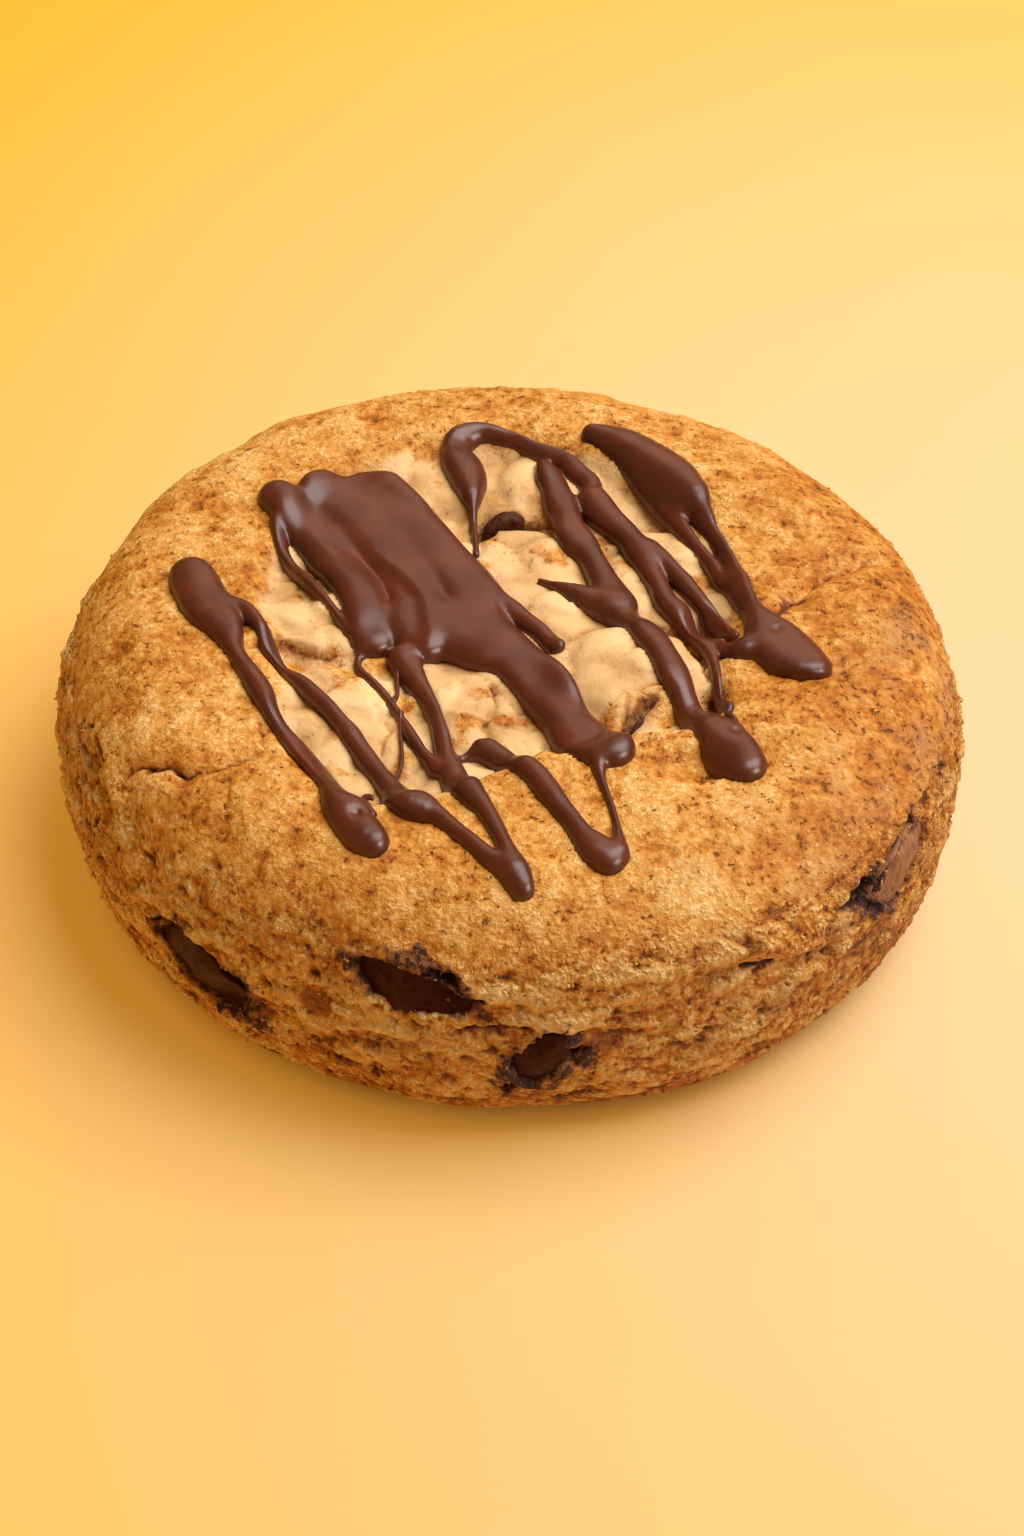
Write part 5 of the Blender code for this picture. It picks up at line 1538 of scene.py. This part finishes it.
def scatter_crumbs():
    """Crumbs at random crust points: many on the side and by the chunks, few on top, none in hollows."""
    rng = np.random.default_rng(CRUMB_SEED)
    normals = np.zeros(len(crust_points) * 3, np.float32)
    crust.data.vertex_normals.foreach_get("vector", normals)
    normals = normals.reshape(-1, 3)
    chance = 0.03 + crust_values["side"] * 0.6 + 0.7 * (crust_values["stain"] > 0.15)
    x, y, z = crust_points.T
    covered = (read_map(PLAN_EDGE, x, y) < 0.4) & (z > TOP_FROM)
    chance = chance * (crust_values["hollow"] < 0.55) * (crust_values["pale"] < 0.4) * (z > 3.5) * ~covered
    picked = rng.choice(len(crust_points), CRUMB_COUNT, p=chance / chance.sum())
    size = rng.lognormal(math.log(CRUMB_SIZE), CRUMB_SPREAD, CRUMB_COUNT)
    size = size.clip(SMALLEST_CRUMB, LARGEST_CRUMB)
    size = size * (0.65 + 0.35 * crust_values["side"][picked])
    ball, ball_faces = unit_ball()
    squash = np.stack((rng.uniform(0.7, 1.3, CRUMB_COUNT), rng.uniform(0.7, 1.3, CRUMB_COUNT),
                       rng.uniform(0.45, 0.9, CRUMB_COUNT)), axis=-1)
    shaped = ball[None] * squash[:, None] * rng.uniform(0.8, 1.2, (CRUMB_COUNT, len(ball), 1))
    turned = np.einsum("nij,nkj->nki", random_turns(CRUMB_COUNT, rng), shaped)
    centre = crust_points[picked] + normals[picked] * (-0.15 * size)[:, None]
    points = (centre[:, None] + turned * size[:, None, None]).reshape(-1, 3)
    faces = (ball_faces[None] + len(ball) * np.arange(CRUMB_COUNT)[:, None, None]).reshape(-1, 3)
    values = {label: numbers[picked] for label, numbers in crust_values.items()}
    values["level"] = values["level"] + rng.normal(0.04, 0.14, CRUMB_COUNT)
    # Crumbs take only a little of the crust's painted shade in hollows.
    values["hollow"] = values["hollow"] * 0.3
    values["stain"] = values["stain"] * (rng.uniform(0.0, 1.0, CRUMB_COUNT) < 0.8)
    return points, faces, {label: np.repeat(numbers, len(ball)) for label, numbers in values.items()}


crumb_points, crumb_faces, crumb_values = scatter_crumbs()
new_piece("crumbs", crumb_points, crumb_faces, crust_material, (), crumb_values)

# %% [markdown]
# ## The chocolate's finish
#
# Set chocolate is a dark red-brown with a satin skin: a broad, soft sheen with no sharp mirror. Its
# colour hardly varies, and only a slow ripple disturbs the skin.


# %% Chocolate materials
def make_drizzle_material():
    """Two close browns blended by noise, satin roughness, and a slow ripple as the bump."""
    material, shader, place = new_material("melted_chocolate")
    broad = place.noise(5.0, 1.0)
    fine = place.noise(0.6, 2.0)
    colour = broad.step(0.35, 0.65).blend(srgb(98, 41, 20), srgb(84, 34, 15))
    height = (broad - 0.5) * 0.12 + (fine - 0.5) * 0.010
    bump = height.node("Bump", {}, {"Strength": 0.8, "Distance": MM, "Height": height})
    plug(shader, Base_Color=colour, Normal=bump, Roughness=0.34 + (broad - 0.5) * 0.10)
    shader.inputs["Specular IOR Level"].default_value = 0.50
    return material


drizzle_material = make_drizzle_material()
drizzle_points = np.stack((
    BED_X[0] + net_points[:, 0] * BED_STEP,
    BED_Y[0] + net_points[:, 1] * BED_STEP,
    LAYERS[0] + net_points[:, 2] * BED_STEP,
), axis=-1)
drizzle_points[:, 2] += read_map(LAID, drizzle_points[:, 0], drizzle_points[:, 1])
new_piece("drizzle", drizzle_points, net_faces, drizzle_material, ("cookie",))

# %% [markdown]
# ## Fine strings of chocolate
#
# Where a strand broke off, it left strings too thin for the field's grid. A string is a circle
# carried along a route, with its own radius at each station. The route lies a little above the bed,
# and both ends run into thicker strands or taper to a point.

# %% Strings of chocolate
# Routes: x, y, height of the middle over the bed, radius
THREADS = (
    ((-12.6, -18.6, 0.6, 0.4), (-12.5, -20.4, 0.4, 0.26), (-12.2, -23.2, 0.3, 0.24),
     (-11.9, -26.4, 0.3, 0.27), (-12.2, -28.8, 0.3, 0.31), (-12.7, -30.2, 0.5, 0.4),
     (-13.1, -31, 0.6, 0.42)),
    ((-13.3, -10.2, 0.9, 0.42), (-13.4, -11.6, 0.5, 0.32), (-13.3, -13.4, 0.4, 0.25),
     (-13.2, -15.2, 0.4, 0.28), (-13.6, -16.6, 0.5, 0.4)),
    ((-14.3, -38.2, 0.9, 0.6), (-15, -36.9, 1, 0.48), (-15.5, -35.5, 0.9, 0.42),
     (-15.7, -34.3, 0.8, 0.38), (-15.4, -33.3, 0.7, 0.42), (-14.9, -32.9, 0.6, 0.34),
     (-14.7, -33.3, 0.5, 0.22)),
    ((24.2, -14.6, 0.4, 0.42), (24.9, -16.4, 0.5, 0.55), (24.6, -17.8, 0.4, 0.36),
     (25.3, -19.4, 0.6, 0.48), (25.2, -21, 0.9, 0.5)),
)
STRING_SIDES = 12
STRING_STEPS = 10


def closed_tube(rows, first_tip, last_tip):
    """Faces of a closed tube: walls between rings of point numbers, and a fan to a tip at each end."""
    onward = np.roll(rows, -1, axis=1)
    first = np.stack((np.full(rows.shape[1], first_tip), rows[0], onward[0]), axis=-1)
    last = np.stack((np.full(rows.shape[1], last_tip), onward[-1], rows[-1]), axis=-1)
    return ring_walls(rows) + list(first) + list(last)


def string_tube(route):
    """Points and faces of a round tube: circles square to the route, closed by a point at each end."""
    route = np.asarray(route, float)
    line = smooth_curve(route, np.linspace(0.0, len(route) - 1.0, STRING_STEPS * len(route)))
    centre = np.column_stack((line[:, :2], read_map(BED, line[:, 0], line[:, 1]) + line[:, 2]))
    ahead = np.gradient(centre, axis=0)
    ahead /= np.linalg.norm(ahead, axis=1, keepdims=True)
    across = np.cross(ahead, (0.0, 0.0, 1.0))
    across /= np.linalg.norm(across, axis=1, keepdims=True)
    upward = np.cross(across, ahead)
    turn = np.linspace(0.0, 2.0 * math.pi, STRING_SIDES, endpoint=False)[None, :, None]
    radius = line[:, 3, None, None] * (1.0 + 0.12 * noise(centre, 1.3, 310))[:, None, None]
    rings = centre[:, None] + radius * (np.cos(turn) * across[:, None] + np.sin(turn) * upward[:, None])
    ends = np.stack((centre[0] - 0.3 * ahead[0], centre[-1] + 0.3 * ahead[-1]))
    points = np.vstack((ends, rings.reshape(-1, 3)))
    rows = 2 + np.arange(len(centre) * STRING_SIDES).reshape(-1, STRING_SIDES)
    return points, closed_tube(rows, 0, 1)


string_points, string_faces = [], []
for route in THREADS:
    tube, tube_faces = string_tube(route)
    string_faces += [np.asarray(face) + sum(len(part) for part in string_points) for face in tube_faces]
    string_points.append(tube)
new_piece("strings", np.vstack(string_points), string_faces, drizzle_material)

# %% [markdown]
# ## Chunks of chocolate
#
# Each chunk is a broken piece of harder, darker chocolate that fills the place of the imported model's
# block. Its face is a star-shaped outline, so it can be made from two parameters: the direction round
# the face's middle, and the way out from the middle, over the edge, down the wall and in again
# underneath. The face follows the cookie's curve and lies a little below the crust.


# %% Chunk shape and material
FACE_LEVEL = 0.10
FACE_MARGIN = 0.45
FACE_ROWS = 22
DEPTH_SHARE = 0.6
CHUNK_TURNS = 120
FACETS = 4


def make_chunk_material():
    """Dark chocolate: fine streaks on broken faces, and pale bloom and painted sheen where the attribute says
    so.
    """
    material, shader, place = new_material("chunk_chocolate")
    bloom = place.node("Attribute", {"attribute_name": "bloom"}, {}, 2)
    streak = place.scaled(1.0, 1.0, 0.45).warp(2.0, 1.0).noise(0.6, 3.0, 0.6)
    broad = place.noise(2.0, 2.0)
    colour = streak.step(0.35, 0.80).blend(srgb(50, 6, 1), srgb(72, 13, 4))
    # The pale face is partly fat bloom and partly painted sheen.
    bloom_and_sheen_share = bloom * (0.75 + (streak - 0.5) * 1.2).step(0.2, 0.9)
    colour = bloom_and_sheen_share.blend(colour, srgb(172, 122, 90))
    crumb = place.warp(0.6, 0.6).spots(1.25, 0.4, 0.30).step(0.1, 0.4)
    colour = (crumb * 0.8).blend(colour, srgb(142, 88, 54))
    height = (streak - 0.5) * 0.12 + (broad - 0.5) * 0.25 + crumb * 0.08
    bump = height.node("Bump", {}, {"Strength": 0.8, "Distance": MM, "Height": height})
    plug(shader, Base_Color=colour, Normal=bump, Roughness=0.42 + (broad - 0.5) * 0.3 + bloom * 0.1)
    shader.inputs["Specular IOR Level"].default_value = 0.12
    return material


def outline_reach(corners, middle, directions):
    """How far the outline is from its middle in each direction: the farthest edge that the ray crosses."""
    corners = np.asarray(corners) - middle
    reach = np.zeros(len(directions))
    for a, b in zip(corners, np.roll(corners, -1, axis=0)):
        edge = b - a
        slant = directions[:, 0] * edge[1] - directions[:, 1] * edge[0]
        slant = np.where(np.abs(slant) < 1e-9, 1e-9, slant)
        far = (a[0] * edge[1] - a[1] * edge[0]) / slant
        share = (a[0] * directions[:, 1] - a[1] * directions[:, 0]) / slant
        reach = np.where((share >= 0) & (share <= 1) & (far > reach), far, reach)
    return reach


def broken_face(u, v, seed):
    """Depth of the planes that the face broke along: each starts off the middle and slopes down outward."""
    rng = np.random.default_rng(900 + seed)
    deepest = np.zeros(u.shape)
    for start in rng.uniform(0, 2 * math.pi) + np.arange(FACETS) * 2 * math.pi / FACETS:
        turn = start + rng.uniform(-0.5, 0.5)
        width = np.ptp(u * math.cos(turn) + v * math.sin(turn)) / 2
        ahead = (u - u.mean()) * math.cos(turn) + (v - v.mean()) * math.sin(turn)
        deepest = np.maximum(deepest, rng.uniform(0.14, 0.40) * (ahead - rng.uniform(0.0, 0.6) * width))
    return deepest


def chunk_shape(name, seed):
    """Points and faces of a chunk in its own frame (out, along, across), and the level of its face."""
    corners = chunk_outline(name, "face")
    middle = np.mean(corners, axis=0)
    turn = np.linspace(0.0, 2.0 * math.pi, CHUNK_TURNS, endpoint=False)
    directions = np.stack((np.cos(turn), np.sin(turn)), axis=-1)
    reach = outline_reach(corners, middle, directions) + FACE_MARGIN
    depth = SIDE_CHUNKS[name][2] * DEPTH_SHARE
    share = np.concatenate((np.linspace(0.04, 0.94, FACE_ROWS), (0.975, 1.0, 1.0, 0.97, 0.93, 0.6, 0.2)))
    drop = np.concatenate((np.zeros(FACE_ROWS), (0.06, 0.30, 0.45 * depth, 0.9 * depth, depth, depth, depth)))
    plan = middle + (share[:, None] * reach)[..., None] * directions
    u, v = plan[..., 0].ravel(), plan[..., 1].ravel()
    front = np.exp(-np.repeat(drop, CHUNK_TURNS))
    bend = -0.6 * u**2 / 110.0 - 0.4 * v**2 / 40.0 - front * broken_face(u, v, seed)
    grain_place = np.stack((np.repeat(drop, CHUNK_TURNS), u, v), axis=-1) + 20.0 * seed
    chips = 0.16 * noise(grain_place, 3.2, 90) + 0.07 * noise(grain_place, 1.1, 91)
    out = bend + chips - np.repeat(drop, CHUNK_TURNS)
    ends = np.array(((out[:CHUNK_TURNS].mean(), *middle), (-depth, *middle)))
    points = np.vstack((ends, np.stack((out, u, v), axis=-1)))
    rows = 2 + np.arange(len(share) * CHUNK_TURNS).reshape(len(share), CHUNK_TURNS)
    return points, closed_tube(rows, 0, 1)


chunk_material = make_chunk_material()
for seed, name in enumerate(SIDE_CHUNKS):
    point, axes = CHUNK_FRAMES[name]
    level = float(large_relief(*point[:, None])[0]) + FACE_LEVEL
    local, chunk_faces = chunk_shape(name, seed)
    bloom_and_sheen_values = np.full(len(local), CHUNK_LOOKS[name][3])
    places = point + axes[0] * level + local @ axes
    new_piece("broken_" + name, places, chunk_faces, chunk_material, (name,), {"bloom": bloom_and_sheen_values})

# %% [markdown]
# ## Slivers of chunk on top
#
# Two chunks show between folds of the soft middle, as thin dark slivers. A super-ellipsoid is a block
# with round edges, which noise then chips. Bending it down towards one end gives the curl of a chunk
# that sank into the dough on one side.


# %% Slivers on top
# Slivers: x and y of the chunk, turn in degrees, half-sizes (height, length, width), bend down and
# aside, move to the north, top above the dough's large forms
SLIVERS = {
    "chunk_crevice": (-2.3, 19.3, 98.0, (1.7, 2.7, 1.25), (0.08, 0.10), 0.9, 0.9),
    "chunk_fold": (15.4, -16.4, -40.0, (1.4, 2.5, 0.42), (0.02, 0.0), 0.0, -0.5),
}
SLIVER_SIDES = 48
SLIVER_RINGS = 23
SLIVER_BLOOM_AND_SHEEN = 0.12


def sliver_block(half, down, aside, seed):
    """A rounded block, |x|^3 + |y|^3 + |z|^3 = 1 in half-sizes, bent by the square of the way along."""
    turns = np.linspace(0.0, 2.0 * math.pi, SLIVER_SIDES, endpoint=False)
    turn, tilt = np.meshgrid(turns, np.linspace(0.0, math.pi, SLIVER_RINGS + 2)[1:-1])
    ring = np.stack((np.sin(tilt) * np.cos(turn), np.sin(tilt) * np.sin(turn), np.cos(tilt)), axis=-1)
    direction = np.vstack(((0.0, 0.0, 1.0), ring.reshape(-1, 3), (0.0, 0.0, -1.0)))
    size = np.sum(np.abs(direction) ** 3, axis=1) ** (1.0 / 3.0)
    block = direction / size[:, None]
    points = block * half
    points = points + (0.16 * noise(points, 1.2, seed))[:, None] * block
    way = np.maximum(points[:, 1] + 0.4 * half[1], 0.0) ** 2
    points[:, 0] -= down * way
    points[:, 2] += aside * way
    rows = 1 + np.arange(turn.size).reshape(turn.shape)
    return points, closed_tube(rows, 0, len(points) - 1)


for seed, (name, (x, y, turn, half, bend, north, above)) in enumerate(SLIVERS.items()):
    c, s = math.cos(math.radians(turn)), math.sin(math.radians(turn))
    axes = np.array(((0.0, 0.0, 1.0), (-s, c, 0.0), (-c, -s, 0.0)))
    height = float(dough_height(np.array([x]), np.array([y]))[0])
    block, block_faces = sliver_block(np.array(half), *bend, 330 + seed)
    places = np.array((x, y + north, height - half[0] + above)) + block @ axes
    bloom_and_sheen_values = np.full(len(block), SLIVER_BLOOM_AND_SHEEN)
    new_piece("broken_" + name, places, block_faces, chunk_material, (name,), {"bloom": bloom_and_sheen_values})

# %% [markdown]
# ## Light and floor
#
# The floor is pale, and paler at the right, where a pool of light is painted into its colour. It glows
# a little, though it is no lamp, so its shadows stay warm, and the glow fades out under the cookie,
# which leaves a painted contact shadow where they touch. A wide lamp at the right stands in for the
# sky, so the shadow falls to the left. A lamp behind gives the chocolate its soft sheen, and a weak
# warm one fills the dark side. The last shows only in reflections, as glints.

# %% Floor, lamps and surround
FLOOR_REACH = 2.0
FLOOR_DROP = 0.00005
# The floor glows though it is no lamp: painted light that keeps its shadows warm.
FLOOR_GLOW = 0.36
# Millimetres: the way from the palest spot, the middle of a painted pool of light, to the middle, and
# how far from that spot the pool fades into warmer colour: where that starts and where it is full
FROM_LIGHT_POOL_MIDDLE = (-75.0, -10.0, 0.0)
LIGHT_POOL_FADE_STARTS = -10.0
LIGHT_POOL_FADE_FULL = 255.0
# The glow begins at the first radius and is full at the second; inside it is a painted contact shadow
GLOW_STARTS = 46.0
GLOW_FULL = 54.0
# Pale and warm colours of the floor and of its glow, pale in the painted pool of light and warmer away
# from it, and the glow's colour under the cookie, a painted contact shadow
FLOOR_COLOURS = (srgb(206, 185, 156), srgb(213, 167, 46))
GLOW_COLOURS = (srgb(250, 188, 76), srgb(255, 164, 14))
CONTACT_SHADOW_GLOW = srgb(60, 20, 2)
# Lamps: place and size in metres, power in watts, colour
LAMPS = {
    "sky_lamp": ((0.42, 0.14, 0.86), 0.8, 12.0, (1.0, 0.97, 0.95)),
    "sheen_lamp": ((0.10, 0.78, 0.60), 0.6, 1.5, (1.0, 0.70, 0.54)),
    "warm_lamp": ((-0.75, -0.45, 0.40), 0.8, 0.6, (1.0, 0.60, 0.16)),
    "glint_lamp": ((0.62, -0.34, 0.36), 0.30, 4.6, (1.0, 0.84, 0.74)),
}
SURROUND_COLOUR = (1.0, 0.68, 0.28, 1.0)
SURROUND_STRENGTH = 0.22


def make_floor():
    """A pale sheet just under the cookie, coloured by the distance from a spot at the cookie's right.

    The colour paints a pool of light round that spot. The floor also glows, though it is no lamp, and
    the glow stops under the cookie as a painted contact shadow.
    """
    material, shader, place = new_material("pale_floor")
    away = place.shifted(FROM_LIGHT_POOL_MIDDLE).scaled(1.0, 0.7, 1.0)
    outside_light_pool = away.length().step(LIGHT_POOL_FADE_STARTS, LIGHT_POOL_FADE_FULL)
    plug(shader, Base_Color=outside_light_pool.blend(*FLOOR_COLOURS))
    outside_contact_shadow = place.length().step(GLOW_STARTS, GLOW_FULL)
    plug(shader, Emission_Color=outside_contact_shadow.blend(CONTACT_SHADOW_GLOW, outside_light_pool.blend(*GLOW_COLOURS)))
    shader.inputs["Emission Strength"].default_value = FLOOR_GLOW
    shader.inputs["Roughness"].default_value = 0.85
    shader.inputs["Specular IOR Level"].default_value = 0.2
    mesh = bpy.data.meshes.new("floor")
    corners = ((-1, -1), (1, -1), (1, 1), (-1, 1))
    points = [(FLOOR_REACH * x, FLOOR_REACH * y, -FLOOR_DROP) for x, y in corners]
    mesh.from_pydata(points, [], [(0, 1, 2, 3)])
    mesh.materials.append(material)
    floor = bpy.data.objects.new("floor", mesh)
    bpy.context.scene.collection.objects.link(floor)


def add_lamp(name, place, size, power, colour):
    """A square lamp at place, in metres, that looks at the cookie."""
    lamp = bpy.data.objects.new(name, bpy.data.lights.new(name, "AREA"))
    lamp.data.size = size
    lamp.data.energy = power
    lamp.data.color = colour
    lamp.location = place
    lamp.rotation_euler = (Vector((0.0, 0.0, 0.02)) - Vector(place)).to_track_quat("-Z", "Y").to_euler()
    bpy.context.scene.collection.objects.link(lamp)


make_floor()
for name, row in LAMPS.items():
    add_lamp(name, *row)
bpy.data.objects["glint_lamp"].visible_diffuse = False
world = bpy.data.worlds.new("surround")
bpy.context.scene.world = world
world.use_nodes = True
background = world.node_tree.nodes["Background"]
background.inputs["Color"].default_value = SURROUND_COLOUR
background.inputs["Strength"].default_value = SURROUND_STRENGTH
print("lamps:", ", ".join(LAMPS))
